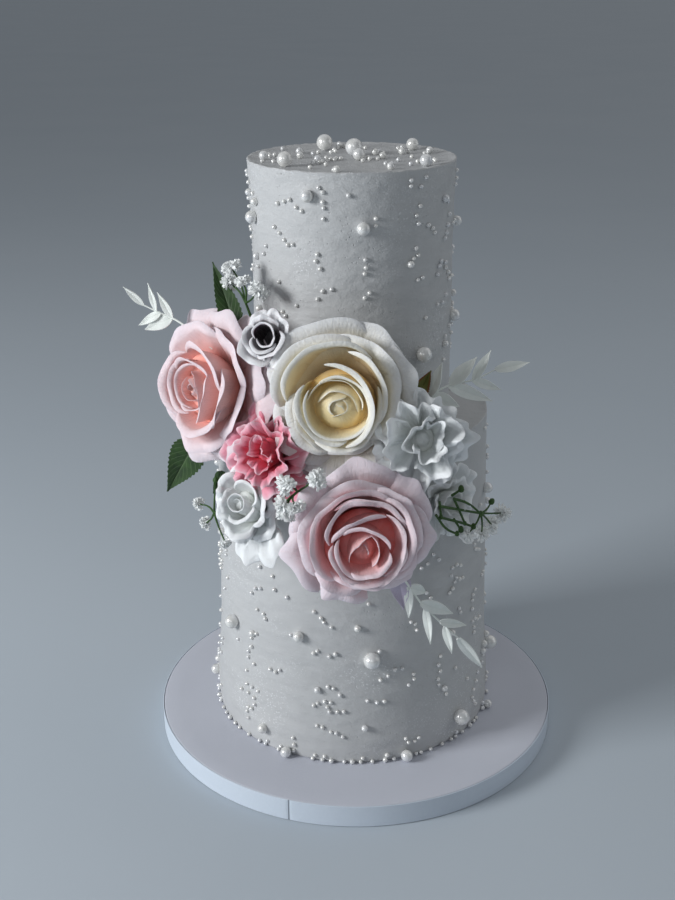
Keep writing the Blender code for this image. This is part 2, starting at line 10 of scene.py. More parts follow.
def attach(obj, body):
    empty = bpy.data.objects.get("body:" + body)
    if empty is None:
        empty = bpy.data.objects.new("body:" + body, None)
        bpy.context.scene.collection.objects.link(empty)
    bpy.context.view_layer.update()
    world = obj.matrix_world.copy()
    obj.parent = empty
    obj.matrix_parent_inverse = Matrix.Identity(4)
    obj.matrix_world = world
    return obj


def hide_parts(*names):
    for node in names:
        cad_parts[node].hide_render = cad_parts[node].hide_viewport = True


mm = 0.001
goldenTurn = math.radians(137.5)  # from one to the next of points that are spread evenly
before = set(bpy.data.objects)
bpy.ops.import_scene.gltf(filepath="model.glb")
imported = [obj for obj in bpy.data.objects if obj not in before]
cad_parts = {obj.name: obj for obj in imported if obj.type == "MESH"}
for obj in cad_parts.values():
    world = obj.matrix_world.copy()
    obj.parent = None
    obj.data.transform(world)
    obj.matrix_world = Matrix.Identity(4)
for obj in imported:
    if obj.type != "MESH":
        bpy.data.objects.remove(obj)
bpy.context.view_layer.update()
print("stage: frame loaded")


class Wire:
    # A shader socket in sums: each operator adds its Math node, and make adds any other node.
    def __init__(self, tree, socket=None):
        self.tree = tree
        self.socket = socket

    def make(self, kind, settings=(), sockets=(), output=0):
        node = self.tree.nodes.new("ShaderNode" + kind)
        for name, value in dict(settings).items():
            if name != "stops":
                setattr(node, name, value)
                continue
            stops = node.color_ramp.elements
            stops[0].position = value[0][0]
            stops[-1].position = value[-1][0]
            for place, colour in value[1:-1]:
                stops.new(place)
            for stop, (place, colour) in zip(stops, value):
                stop.color = (*colour, 1)
        for name, value in dict(sockets).items():
            if isinstance(value, Wire):
                self.tree.links.new(value.socket, node.inputs[name])
            else:
                node.inputs[name].default_value = value
        return Wire(self.tree, node.outputs[output])

    def maths(self, operation, *values):
        return self.make("Math", {"operation": operation}, dict(enumerate(values)))

    def __add__(self, other):
        return self.maths("ADD", self, other)

    def __sub__(self, other):
        return self.maths("SUBTRACT", self, other)

    def __rsub__(self, other):
        return self.maths("SUBTRACT", other, self)

    def __mul__(self, other):
        return self.maths("MULTIPLY", self, other)

    __radd__ = __add__
    __rmul__ = __mul__

    def place(self):
        return self.make("TexCoord", output="Object")

    def stretched(self, factors):  # object coordinates multiplied per axis
        return self.make("Mapping", sockets={"Vector": self.place(), "Scale": factors})

    def cloud(self, scale, vector=None, detail=3.0, rough=0.5):  # soft noise from 0 to 1
        return self.make("TexNoise", sockets={"Vector": vector or self.place(), "Scale": scale,
                                              "Detail": detail, "Roughness": rough})

    def cells(self, scale, output="Distance"):
        return self.make("TexVoronoi", sockets={"Vector": self.place(), "Scale": scale}, output=output)

    def ranged(self, low, high, first=0.0, last=1.0):  # low..high becomes first..last
        return self.make("MapRange", sockets={0: self, 1: low, 2: high, 3: first, 4: last})

    def ramp(self, *stops):
        return self.make("ValToRGB", {"stops": stops}, {0: self})

    def tint(self, first, second):  # colours mixed by this wire
        sides = [side if isinstance(side, Wire) else (*side, 1) for side in (first, second)]
        return self.make("Mix", {"data_type": "RGBA"}, {0: self, 6: sides[0], 7: sides[1]}, 2)

    def bump(self, distance, strength):
        return self.make("Bump", sockets={"Height": self, "Distance": distance, "Strength": strength})

    def mapped(self, axis):  # the UV map's X runs across a petal or leaf, and its Y from base to tip
        return self.make("SeparateXYZ", sockets={0: self.make("UVMap")}, output=axis)


def coatOf(name, constants, build):
    # Constants go on the shader's own sockets, and build returns the wires for what varies.
    coat = bpy.data.materials.new(name)
    coat.use_nodes = True
    tree = coat.node_tree
    shader = tree.nodes["Principled BSDF"]
    for socket, value in constants.items():
        shader.inputs[socket].default_value = value
    for socket, wire in build(Wire(tree)).items():
        tree.links.new(wire.socket, shader.inputs[socket])
    return coat


# Shared modelling steps

def deselect():
    bpy.ops.object.select_all(action="DESELECT")


def activate(thing):
    deselect()
    thing.select_set(True)
    bpy.context.view_layer.objects.active = thing


def applyAll(thing):
    activate(thing)
    for step in list(thing.modifiers):
        bpy.ops.object.modifier_apply(modifier=step.name)


def joined(things):
    deselect()
    for thing in things:
        thing.select_set(True)
    bpy.context.view_layer.objects.active = things[0]
    if len(things) > 1:
        bpy.ops.object.join()
    return bpy.context.object


def weld(thing, distance=0.00002):
    # Closes seams and poles, and turns every face outwards.
    activate(thing)
    bpy.ops.object.mode_set(mode="EDIT")
    bpy.ops.mesh.select_all(action="SELECT")
    bpy.ops.mesh.remove_doubles(threshold=distance)
    bpy.ops.mesh.normals_make_consistent(inside=False)
    bpy.ops.object.mode_set(mode="OBJECT")
    return thing


def grid(across, along):
    deselect()
    bpy.ops.mesh.primitive_grid_add(x_subdivisions=across, y_subdivisions=along, size=2, calc_uvs=True)
    return bpy.context.object


def wrapped(profile, around, place, seal=0.00002):
    # A grid wrapped round an axis. The place function gets each point's turn from -1 to 1, its radius and
    # its height, and returns where it goes.
    skin = grid(around, len(profile) - 1)
    for point in skin.data.vertices:
        point.co = place(point.co.x, *profile[round((1 - point.co.y) / 2 * (len(profile) - 1))])
    return weld(skin, seal)


def thicken(thing, wall, offset=0.0):
    step = thing.modifiers.new("thick", "SOLIDIFY")
    step.thickness = wall
    step.offset = offset


def finishPiece(thing, name, coat, slotName, nodes, sharp=60):
    thing.name = name
    thing.data.name = name
    thing.data.materials.clear()
    thing.data.materials.append(coat)
    activate(thing)
    bpy.ops.object.shade_smooth_by_angle(angle=math.radians(sharp))
    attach(thing, "root")
    if nodes:
        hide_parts(*nodes)
    return thing


def tiled(name, template, places):
    # One mesh with a copy of the template's mesh at each matrix.
    points, faces = [], []
    flat = [tuple(face.vertices) for face in template.data.polygons]
    for place in places:
        start = len(points)
        points += [place @ point.co for point in template.data.vertices]
        faces += [tuple(start + corner for corner in face) for face in flat]
    mesh = bpy.data.meshes.new(name)
    mesh.from_pydata(points, [], faces)
    mesh.update()
    made = bpy.data.objects.new(name, mesh)
    bpy.context.scene.collection.objects.link(made)
    return made


def remove(thing):
    bpy.data.objects.remove(thing, do_unlink=True)


def facing(centre, azimuth, elevation):
    # A frame at the centre in millimetres whose +Z looks out along the azimuth from the front.
    turn, rise = math.radians(azimuth), math.radians(elevation)
    axis = Vector((math.sin(turn) * math.cos(rise), -math.cos(turn) * math.cos(rise), math.sin(rise)))
    up = Vector((-math.sin(turn) * math.sin(rise), math.cos(turn) * math.sin(rise), math.cos(rise)))
    columns = Matrix((up.cross(axis), up, axis)).transposed().to_4x4()
    return Matrix.Translation(Vector(centre) * mm) @ columns @ Matrix.Scale(mm, 4)


# Tiers

tiers = {  # side: height above the foot and radius, in millimetres
    "lower": {"foot": 13.0, "height": 178.4, "side": ((0, 79.0), (12, 79.4), (55, 76.6), (177.2, 73.3)),
              "lip": 0.0, "around": 360, "rows": 150},
    "upper": {"foot": 191.7, "height": 133.3, "side": ((0, 52.4), (90, 52.2), (131.8, 53.5)),
              "lip": 0.3, "around": 280, "rows": 120},
}
topDish = 0.8  # how far the middle of a top lies below its rim
boardTop = 12.7
handwork = {  # all in millimetres, but for the collar's width, which is a share of the pearl's radius
    "wave": 0.25, "smear": 0.24, "dab": 0.11, "raggedRim": 0.5, "unevenTop": 0.22, "collar": 0.42,
    "collarWide": 0.42,
}


def sideRadius(tier, level):
    side = tier["side"]
    for (low, first), (high, second) in zip(side, side[1:]):
        if level <= high:
            share = max(0.0, (level - low) / (high - low))
            return first + (second - first) * share
    return side[-1][1]


def wave(angle, z):  # how far the smoothed icing stands off the true round, in millimetres
    return handwork["wave"] * (math.sin(2 * angle + 0.023 * z) + 0.6 * math.sin(3 * angle - 0.041 * z + 1.3))


def atAngle(angle, radius, z):  # the angle is from the front, towards +X
    return Vector((radius * math.sin(angle), -radius * math.cos(angle), z))


pearls = {  # angle from the front, height and diameter; on the top and on the drum: x, y and diameter
    "upper": ((-22.8, 313.6, 6.0), (5.8, 298.6, 6.7), (-67.8, 298.0, 6.5), (85.3, 292.7, 5.2),
              (77.6, 244.5, 6.3), (41.5, 232.0, 8.0), (128, 301, 6.4), (171, 252, 7.6), (-139, 283, 6.8)),
    "lower": ((-57.0, 79.5, 7.9), (-21.3, 87.1, 5.8), (7.5, 76.1, 8.9), (-37.9, 24.2, 5.5),
              (47.1, 26.8, 8.9), (83.2, 47.3, 8.2), (-82.7, 29.4, 5.9), (75.0, 149.6, 6.0),
              (118, 96, 7.4), (146, 160, 6.2), (168, 44, 8.6), (-154, 118, 7.0), (-116, 64, 8.4)),
    "top": ((-14.5, 27.9, 8.5), (1.1, 7.2, 9.1), (3.5, -8.6, 6.3), (-32.7, -29.1, 7.8),
            (32.0, 26.5, 6.6), (36.3, -29.3, 6.3), (-44.5, -7.2, 5.0)),
    "drum": ((-36.4, -74.0, 6.0), (29.5, -77.4, 6.5), (78.5, -24.8, 4.9)),
    "sunk": 0.16, "mediumSize": 3.9, "smallSize": 2.25,
}


def largePearls():
    # Every pearl of berry size by its node's name: centre and radius in millimetres.
    found = {}
    for tierName in ("upper", "lower"):
        tier = tiers[tierName]
        for number, (degrees, z, size) in enumerate(pearls[tierName], 1):
            angle = math.radians(degrees)
            reach = sideRadius(tier, z - tier["foot"]) + wave(angle, z) + size / 2 - pearls["sunk"] * size
            found[f"pearl_{tierName}_{number:02d}"] = (atAngle(angle, reach, z), size / 2)
    top = tiers["upper"]["foot"] + tiers["upper"]["height"] - topDish
    for number, (x, y, size) in enumerate(pearls["top"], 1):
        found[f"pearl_top_{number:02d}"] = (Vector((x, y, top + size / 2 - 0.3)), size / 2)
    lower = tiers["lower"]
    for number, (x, y, size) in enumerate(pearls["drum"], 1):
        angle = math.atan2(x, -y)
        clear = sideRadius(lower, size / 2) + wave(angle, lower["foot"] + size / 2) + size / 2
        reach = max(math.hypot(x, y), clear)
        found[f"pearl_drum_{number:02d}"] = (atAngle(angle, reach, boardTop + size / 2 + 0.1), size / 2)
    return found


def tierProfile(tier):
    # Radius and height pairs from the middle of the top over the rim and down the side to the foot.
    height, foot, wide = tier["height"], tier["foot"], tier["side"][0][1]
    top = foot + height
    rim = sideRadius(tier, height)
    dish = [(rim * share / 8, top - topDish) for share in range(7)]
    edge = [(rim - 9, top - topDish), (rim - 5, top - 0.62), (rim - 2.2, top - 0.25), (rim - 1.0, top - 0.06),
            (rim - 0.45, top), (rim - 0.05, top - 0.1), (rim + tier["lip"] * 0.9, top - 0.5)]
    levels = [height - 1.2 - (height - 1.2) * step / tier["rows"] for step in range(tier["rows"])]
    side = [(sideRadius(tier, level) + tier["lip"] * max(0, 1 - (height - level) / 6), foot + level)
            for level in levels]
    under = [(wide - 0.1, foot + 0.3), (wide - 0.5, foot)]
    under += [(wide * share, foot) for share in (0.9, 0.6, 0.3, 0)]
    return dish + edge + side + under


def buildTier(name, seed):
    tier = tiers[name]
    top = tier["foot"] + tier["height"]
    rim = sideRadius(tier, tier["height"])
    bedded = [pearl for node, pearl in largePearls().items() if f"_{name}_" in node]

    def place(turn, radius, z):
        angle = turn * math.pi
        spot = atAngle(angle, radius, z)
        lift = drop = 0.0
        if tier["foot"] + 0.1 < z < top - 0.4 and radius > rim * 0.9:
            smear = noise.noise(Vector((spot.x * 0.05, spot.y * 0.05, z * 0.16 + seed)))
            fine = noise.noise(Vector((spot.x * 0.16, spot.y * 0.16, z * 0.5 + seed)))
            lift = wave(angle, z) + handwork["smear"] * smear + handwork["dab"] * fine
            for centre, size in bedded:  # icing pushed up round a pearl
                away = (spot - centre).length
                if away < size * 3.2:
                    ring = (away - size * 1.05) / (size * handwork["collarWide"])
                    lift += handwork["collar"] * math.exp(-ring ** 2)
        elif radius > rim - 10 and z > top - 1:
            lift = wave(angle, z)
            ragged = noise.noise(Vector((spot.x * 0.25, spot.y * 0.25, seed)))
            drop = handwork["raggedRim"] * ragged if radius > rim - 3 else 0.0
        if z > top - 1 and radius <= rim - 5:
            drop = handwork["unevenTop"] * noise.noise(Vector((spot.x * 0.09, spot.y * 0.03, seed)))
        return atAngle(angle, radius + lift if radius > 1 else radius, min(z + drop, top + 0.02)) * mm

    return wrapped(tierProfile(tier), tier["around"], place)


def icingLook(w):
    streaks = w.cloud(52, w.stretched((1, 1, 3.2)), 4, 0.6)
    patches = w.cloud(14, detail=2)
    grain = w.cloud(900, detail=2, rough=0.6)
    pitted = w.cloud(60, detail=1).ranged(0.42, 0.62)  # pits come in patches
    pits = w.cells(420).ranged(0.05, 0.2) * pitted + (1 - pitted)
    # Sparse specks are painted near white as painted glints of the icing's shimmer, and are also made
    # glossier.
    speckCells = w.make("SeparateColor", sockets={0: w.cells(1700, output="Color")})
    glint = speckCells.ranged(0.9, 0.93) * w.cloud(24, detail=2).ranged(0.5, 0.68)
    base = streaks.ranged(0.3, 0.7).tint((0.496, 0.504, 0.508), (0.560, 0.567, 0.570))
    base = patches.ranged(0.35, 0.7).tint(base, (0.540, 0.545, 0.546))
    base = (glint * 0.5).tint(base, (0.93, 0.94, 0.96))
    dabs = w.cloud(95, w.stretched((1, 1, 1.7)), 2, 0.45)
    relief = streaks * 0.75 + dabs * 0.7 + w.cloud(260, detail=2) * 0.35 + grain * 0.2 + pits * 0.35
    height = w.make("SeparateXYZ", sockets={0: w.place()}, output="Z")
    relief = relief * height.ranged(0.185, 0.195, 0.6, 1.0)  # the lower tier is smoothed better
    return {"Base Color": base, "Roughness": 0.52 - glint * 0.3 + streaks * 0.08,
            "Normal": relief.bump(0.0010, 0.9)}


icing = coatOf("buttercream", {"Specular IOR Level": 0.38, "Subsurface Weight": 0.0}, icingLook)
finishPiece(buildTier("lower", 3.0), "icing_lower", icing, "buttercream", ["lower_tier"], 40)
finishPiece(buildTier("upper", 9.0), "icing_upper", icing, "buttercream", ["upper_tier"], 40)
print("stage: tiers iced")

# Drum

drum = {"radius": 114.3, "shift": (1.75, -2.8), "strip": 0.4, "edge": 0.6, "seam": -17.8, "groove": 0.30,
        "grooveWide": 0.35}


def turnedDrum(profile, around, lapped=False):
    def place(turn, radius, z):
        if lapped and radius > drum["radius"] - 0.2:
            away = (1 - abs(turn)) * math.pi * drum["radius"]  # millimetres from the seam
            radius -= drum["groove"] * max(0.0, 1 - away / drum["grooveWide"])
        spot = atAngle((turn + 1) * math.pi + math.radians(drum["seam"]), radius, z)
        return Vector((spot.x + drum["shift"][0], spot.y + drum["shift"][1], z)) * mm

    return wrapped(profile, around, place)


def paperLook(w):
    fibre = w.cloud(700, detail=4, rough=0.7)
    stain = w.cloud(22, detail=3)
    base = stain.ranged(0.3, 0.7).tint((0.555, 0.575, 0.645), (0.595, 0.615, 0.685))
    return {"Base Color": fibre.ranged(0.35, 0.65).tint(base, (0.580, 0.600, 0.665)),
            "Roughness": 0.62 + fibre * 0.1, "Normal": (fibre + stain * 2).bump(0.0001, 0.5)}


def stripLook(w):
    fibre = w.cloud(500, detail=3, rough=0.6)
    long = w.cloud(30, w.stretched((1, 1, 0.2)), 2)
    gap = (w.maths("ABSOLUTE", w.mapped("X") - 0.5) * 2).ranged(0.9985, 0.9992)  # where the two ends meet
    base = fibre.tint((0.62, 0.69, 0.78), (0.67, 0.74, 0.82))
    return {"Base Color": gap.tint(base, (0.22, 0.25, 0.29)), "Roughness": 0.36 + long * 0.14,
            "Normal": long.bump(0.0002, 0.35)}


boardEdge = drum["radius"] - drum["strip"] - 0.3
stripInner, stripOuter, stripTop = boardEdge + 0.3, drum["radius"], boardTop - 0.1
boardProfile = [(boardEdge * step / 12, boardTop) for step in range(12)]
for turn in (0, 0.4, 0.8, 1.2, math.pi / 2):  # the paper folds softly over the rim
    fold, sink = drum["edge"] * (1 - math.sin(turn)), drum["edge"] * (1 - math.cos(turn))
    boardProfile.append((boardEdge - fold, boardTop - sink))
boardProfile += [(boardEdge, 6.0), (boardEdge, 0.6), (boardEdge - 0.6, 0.0), (boardEdge * 0.5, 0.0), (0, 0)]
stripProfile = [(stripInner, 0.35), (stripInner, stripTop), (stripOuter - 0.12, stripTop),
                (stripOuter, stripTop - 0.12), (stripOuter, 9), (stripOuter, 4), (stripOuter, 0.45),
                (stripOuter - 0.12, 0.35), (stripInner, 0.35)]
paper = coatOf("drumPaper", {"Specular IOR Level": 0.3}, paperLook)
strip = coatOf("drumStrip", {"Specular IOR Level": 0.5}, stripLook)
finishPiece(turnedDrum(boardProfile, 300), "drum_board", paper, "drum_paper", ["cake_drum"], 35)
finishPiece(turnedDrum(stripProfile, 720, True), "drum_strip", strip, "drum_strip", ["drum_edge_strip"], 35)
print("stage: drum covered")

# Pearls


def pearlLook(w):
    cloud = w.cloud(260, detail=2)
    swirl = w.cloud(90, detail=1)
    base = cloud.ranged(0.3, 0.7).tint((0.84, 0.835, 0.805), (0.90, 0.895, 0.865))
    base = swirl.ranged(0.45, 0.75).tint(base, (0.80, 0.815, 0.84))
    return {"Base Color": base, "Roughness": 0.22 + cloud * 0.08, "Normal": cloud.bump(0.00005, 0.15)}


pearlCoat = coatOf("pearlShell", {"Coat Weight": 0.7, "Coat Roughness": 0.05, "Coat IOR": 1.6,
                                  "Specular IOR Level": 0.8, "Metallic": 0.2}, pearlLook)


def ballTemplate(segments, rings, uneven):
    deselect()
    bpy.ops.mesh.primitive_uv_sphere_add(segments=segments, ring_count=rings, radius=1)
    ball = bpy.context.object
    for point in ball.data.vertices:  # a rolled sugar ball is never quite round
        point.co *= 1 + uneven * noise.noise(point.co * 1.4 + Vector((5, 1, 2)))
    return ball


def scatterPearls():
    template = ballTemplate(32, 20, 0.03)
    draw = random.Random(17)
    for node, (centre, radius) in largePearls().items():
        turn = Matrix.Rotation(draw.uniform(0, 6), 4, "X") @ Matrix.Rotation(draw.uniform(0, 6), 4, "Z")
        place = Matrix.Translation(centre * mm) @ turn @ Matrix.Scale(radius * mm, 4)
        name = node + "_sugar"
        finishPiece(tiled(name, template, [place]), name, pearlCoat, "pearl", [node], 180)
    remove(template)


scatter = {  # clusters of small pearls: rows and columns of a loose net, and how many pearls one has
    "upper": {"rows": 8, "columns": 15, "seed": 4}, "lower": {"rows": 11, "columns": 19, "seed": 8},
    "counts": (1, 1, 1, 2, 2, 3, 3, 4, 5, 7), "step": (1.15, 2.4), "mediumShare": 0.07, "topCount": 42,
    "topReach": 48, "beads": 86, "beadFoot": 12.9, "missingBeads": 0.16,
}
flowerPatch = {"across": 66, "middle": 202, "along": 62}  # degrees to each side, height, reach up and down


def behindFlowers(angle, z):  # the stretch of both tiers that flowers and stems cover
    across = math.degrees(angle) / flowerPatch["across"]
    along = (z - flowerPatch["middle"]) / flowerPatch["along"]
    return across * across + along * along < 1


def clearOf(spot, size, balls, share):  # no closer to any ball than its radius and a share of this size
    return all((spot - centre).length > radius + size * share for centre, radius in balls)


def apartFrom(spot, size, laid):  # laid pearls are kept with their full size
    return all((spot - other).length > (size + otherSize) * 0.5 for other, otherSize in laid)


def clusterSpots(name):
    # Angle, height and radius of the small pearls on one tier's side.
    tier, plan = tiers[name], scatter[name]
    draw = random.Random(plan["seed"])
    found = []
    large = list(largePearls().values())
    for row in range(plan["rows"]):
        for column in range(plan["columns"]):
            angle = (column + draw.uniform(0.05, 0.95) + 0.5 * (row % 2)) * 2 * math.pi / plan["columns"]
            level = (row + draw.uniform(0.1, 0.9)) / plan["rows"] * (tier["height"] - 14) + 9
            count = draw.choice(scatter["counts"])
            heading = draw.uniform(0, 2 * math.pi)
            for turn in range(count):
                size = pearls["mediumSize"] if draw.random() < scatter["mediumShare"] else pearls["smallSize"]
                size *= draw.uniform(0.92, 1.08)
                z = tier["foot"] + level
                angle = (angle + math.pi) % (2 * math.pi) - math.pi
                reach = sideRadius(tier, level) + wave(angle, z) + 0.26 * size
                spot = atAngle(angle, reach, z)
                free = clearOf(spot, size, large, 0.7) and apartFrom(spot, size, found[-40:])
                if free and not behindFlowers(angle, z) and 4 < level < tier["height"] - 3.5:
                    found.append((spot, size))
                heading += draw.uniform(-1.3, 1.3)
                step = draw.uniform(*scatter["step"]) * pearls["smallSize"]
                angle += step * math.cos(heading) / sideRadius(tier, level)
                level += step * math.sin(heading)
    return found


def topSpots():
    # Singles and small groups on the upper tier's top, a good part of them of the medium size.
    draw = random.Random(31)
    z = tiers["upper"]["foot"] + tiers["upper"]["height"] - topDish
    large = [pearl for node, pearl in largePearls().items() if "_top_" in node]
    found = []
    for turn in range(scatter["topCount"]):
        reach = math.sqrt((turn + 0.6) / scatter["topCount"]) * scatter["topReach"]
        angle = turn * goldenTurn + draw.uniform(-0.5, 0.5)
        for member in range(draw.choice((1, 1, 2, 3, 4))):
            size = draw.choice([pearls["mediumSize"]] + [pearls["smallSize"]] * 3)
            aside = Vector((draw.uniform(-4, 4), draw.uniform(-4, 4), 0))
            spot = atAngle(angle, reach, z + size * 0.42) + aside
            free = clearOf(spot, size, large, 0.5) and apartFrom(spot, size, found)
            if free and math.hypot(spot.x, spot.y) < scatter["topReach"] + 2:
                found.append((spot, size))
    return found


def beadSpots():
    # The hand-laid line of beads round the foot of the lower tier, some of them doubled or missing.
    draw = random.Random(12)
    large = list(largePearls().values())
    lower = tiers["lower"]
    found = []
    for turn in range(scatter["beads"]):
        angle = (turn + draw.uniform(-0.35, 0.35)) * 2 * math.pi / scatter["beads"]
        size = draw.choice((2.2, 2.3, 2.8))
        if draw.random() < scatter["missingBeads"]:
            continue
        for step in range(draw.choice((1, 1, 1, 2))):
            z = scatter["beadFoot"] + size * 0.48 + step * size * 0.9
            reach = sideRadius(lower, z - lower["foot"]) + wave(angle, z) + (0.42 - 0.2 * step) * size
            spot = atAngle(angle + step * 0.015, reach, z)
            if clearOf(spot, size, large, 0.5):
                found.append((spot, size))
    return found


def strewPearls(name, spots, nodes):
    template = ballTemplate(10, 6, 0.05)
    draw = random.Random(5)
    places = []
    for spot, size in spots:
        turn = Matrix.Rotation(draw.uniform(0, 6), 4, "X") @ Matrix.Rotation(draw.uniform(0, 6), 4, "Y")
        places.append(Matrix.Translation(spot * mm) @ turn @ Matrix.Scale(size / 2 * mm, 4))
    finishPiece(tiled(name, template, places), name, pearlCoat, "pearl", nodes, 180)
    remove(template)


scatterPearls()
strewPearls("small_pearls_lower", clusterSpots("lower"), ["lower_tier"])
strewPearls("small_pearls_upper", clusterSpots("upper"), ["upper_tier"])
strewPearls("small_pearls_top", topSpots(), ["upper_tier"])
strewPearls("base_beads", beadSpots(), ["lower_tier"])
print("stage: pearls strewn")

# Petals. A ring gives the petals' wall and lip, and each petal its angle, half width, the lip's radius at
# its right side, middle and left side, and how far its tip reaches out.

wallShare = 0.62  # of a petal's length, up to where the lip starts to roll
rollSteps = 8
silk = {"tipStray": 0.3, "tipWide": 0.15, "tipFlat": 0.4, "curlStray": 0.45, "fineFolds": 0.8,
        "crumple": 0.55}


def ringOf(petals, height, roll, curl, wall, base, heart, drop=4.0, ripple=0.8, cuts=(12, 16), lift=1.4,
           oval=0.0, crease=0.5):
    inset = 0.85 if wall[1] > 20 else 0.35  # how much of the lip's width lies inside the given radius
    return {"petals": petals, "height": height, "roll": roll, "curl": curl, "wall": wall, "base": base,
            "heart": heart, "drop": drop, "ripple": ripple, "cuts": cuts, "lift": lift, "inset": inset,
            "oval": oval, "crease": crease}


def outward(degrees):  # a direction in the radius and height plane, measured from straight up
    turn = math.radians(degrees)
    return Vector((math.sin(turn), math.cos(turn)))


def petalPoint(s, v, ring, row, bud, serial, pace):
    angle, half, low, middle, high, tip = row
    reach = middle + (high - low) / 2 * s + ((high + low) / 2 - middle) * s * s - ring["inset"] * ring["roll"]
    height = ring["height"] - ring["drop"] * abs(s) ** 3 - ring["lift"] * (serial % 2)
    reach += ring["ripple"] * noise.noise(Vector((2.4 * pace * s, 1.7 * serial, 0.5)))
    height += ring["ripple"] * 1.2 * noise.noise(Vector((2.8 * pace * s, 1.3 * serial, 7.5)))
    # A petal's tip is seldom in its middle.
    shift = s - silk["tipStray"] * noise.noise(Vector((0.9, 3.7 * serial, 1.5)))
    roll = ring["roll"] * math.sqrt(max(0.03, 1 - s ** 6)) + tip * math.exp(-(shift / silk["tipWide"]) ** 2)
    uneven = silk["curlStray"] * noise.noise(Vector((1.5 * s, 2.1 * serial, 3.5)))
    uneven -= silk["tipFlat"] * math.exp(-(shift / 0.3) ** 2)
    curl = ring["curl"] * (1.15 + uneven)
    start, end = Vector(ring["base"]), Vector((reach, height))
    span = (end - start).length
    first, last = ring["wall"]
    w = min(1.0, v / wallShare)
    spot = (2 * w ** 3 - 3 * w * w + 1) * start + (3 * w * w - 2 * w ** 3) * end + \
        (w ** 3 - 2 * w * w + w) * span * outward(first) + (w ** 3 - w * w) * span * outward(last)
    rolled = max(0.0, (v - wallShare) / (1 - wallShare))
    for step in range(rollSteps):
        share = (step + 0.5) / rollSteps * rolled
        spot = spot + outward(last + curl * (1 - (1 - share) ** 1.8)) * (roll * rolled / rollSteps)
    folds = noise.noise(Vector((4.6 * s + serial, 3.1 * serial, 1.1 * v)))  # creases run from base to rim
    folds += silk["fineFolds"] * noise.noise(Vector((10.5 * s, 2.3 * serial, 1.6 * v)))
    spot += ring["crease"] * folds * v * outward(last + 90)
    turn = math.radians(angle + half * s)
    radius = max(0.2, spot.x * (1 + ring["oval"] * math.cos(2 * turn)))
    place = Vector((bud[0] * w + radius * math.cos(turn), bud[1] * w + radius * math.sin(turn), spot.y))
    cell = place * 0.12 + Vector((serial, 0, 0))
    soft = [noise.noise(cell + Vector(apart)) for apart in ((9.3, -1.5, -8.0), (0, 0, 0), (6.3, 0.2, -2.7))]
    return place + Vector(soft) * (silk["crumple"] * v)


def markSheet(sheet, heart, tone):
    for name, value in (("heart", heart), ("tone", tone)):
        marks = sheet.data.attributes.new(name, "FLOAT", "POINT")
        marks.data.foreach_set("value", [value] * len(sheet.data.vertices))
    return sheet


def petalSheet(ring, row, bud, serial, pace):
    sheet = grid(*ring["cuts"])
    for point in sheet.data.vertices:
        point.co = petalPoint(point.co.x, (point.co.y + 1) / 2, ring, row, bud, serial, pace)
    return markSheet(sheet, ring["heart"], 0.5 + 0.9 * noise.noise(Vector((4.3 * serial, 0.7, 2.2))))


def heartCore(bloom):
    # The closed middle that the inner petals rise from: a crown on a shoulder that fills the cup.
    crown, crownWide, shoulder, foot = bloom["core"]
    steps = [(crownWide * math.sin(turn), crown - crownWide * 0.7 * (1 - math.cos(turn)))
             for turn in (0, 0.3, 0.6, 0.9, 1.2, math.pi / 2)]
    low = steps[-1][1]
    for turn in (0.35, 0.7, 1.0, 1.3, math.pi / 2):
        wide = crownWide + (shoulder - crownWide) * math.sin(turn)
        steps.append((wide, low - 0.24 * shoulder * (1 - math.cos(turn))))
    low = steps[-1][1]
    steps += [(shoulder * 0.92, low - 0.25 * (low - foot)), (shoulder * 0.75, low - 0.5 * (low - foot)),
              (shoulder * 0.55, low - 0.75 * (low - foot)), (shoulder * 0.35, foot)]

    def place(turn, radius, height):
        angle = turn * math.pi
        twist = 0.35 * math.sin(3 * angle + 0.9 * radius) * min(1.0, radius / 3)  # wound like the petals
        return Vector((bloom["bud"][0] + radius * math.cos(angle), bloom["bud"][1] + radius * math.sin(angle),
                       height + twist))

    core = wrapped(steps, 30, place, 0.01)
    for mark in core.data.uv_layers.active.data:  # how far up a petal's colours the crown comes
        mark.uv.y *= bloom.get("coreShade", 0.6)
    return markSheet(core, bloom.get("coreHeart", 1.0), 0.3)


def buildBloom(bloom):
    place = facing(bloom["centre"], *bloom["facing"])
    sheets = []
    for ring in bloom["rings"]:
        for row in ring["petals"]:
            sheets.append(petalSheet(ring, row, bloom["bud"], len(sheets) + bloom.get("seed", 0),
                                     bloom.get("pace", 1.0)))
    sheets.append(heartCore(bloom))
    whole = joined(sheets)
    whole.data.transform(place)
    thicken(whole, bloom["thick"] * mm)
    smooth = whole.modifiers.new("smooth", "SUBSURF")
    smooth.levels = smooth.render_levels = 1
    applyAll(whole)
    finishPiece(whole, bloom["node"] + "_petals", bloom["coat"], bloom["slot"], [bloom["node"]], 75)
    buildCalyx(bloom, place)


def evenRing(count, phase, radius, half, jitter, draw, tip=0.0, spiral=0.06):
    rows = []
    for turn in range(count):
        angle = phase + 360 / count * turn + draw.uniform(-jitter, jitter)
        reach = radius * draw.uniform(0.95, 1.05)
        rows.append((angle, half * draw.uniform(0.9, 1.1), reach * (1 - spiral), reach, reach * (1 + spiral),
                     tip * draw.uniform(0.3, 1.2)))
    return rows


def greenLook(w):
    vein = w.cloud(300, detail=3)
    return {"Base Color": vein.ranged(0.3, 0.7).tint((0.020, 0.060, 0.012), (0.060, 0.125, 0.030)),
            "Roughness": 0.5 + vein * 0.15, "Normal": vein.bump(0.0002, 0.4)}


greenCoat = coatOf("stemGreen", {"Specular IOR Level": 0.35}, greenLook)


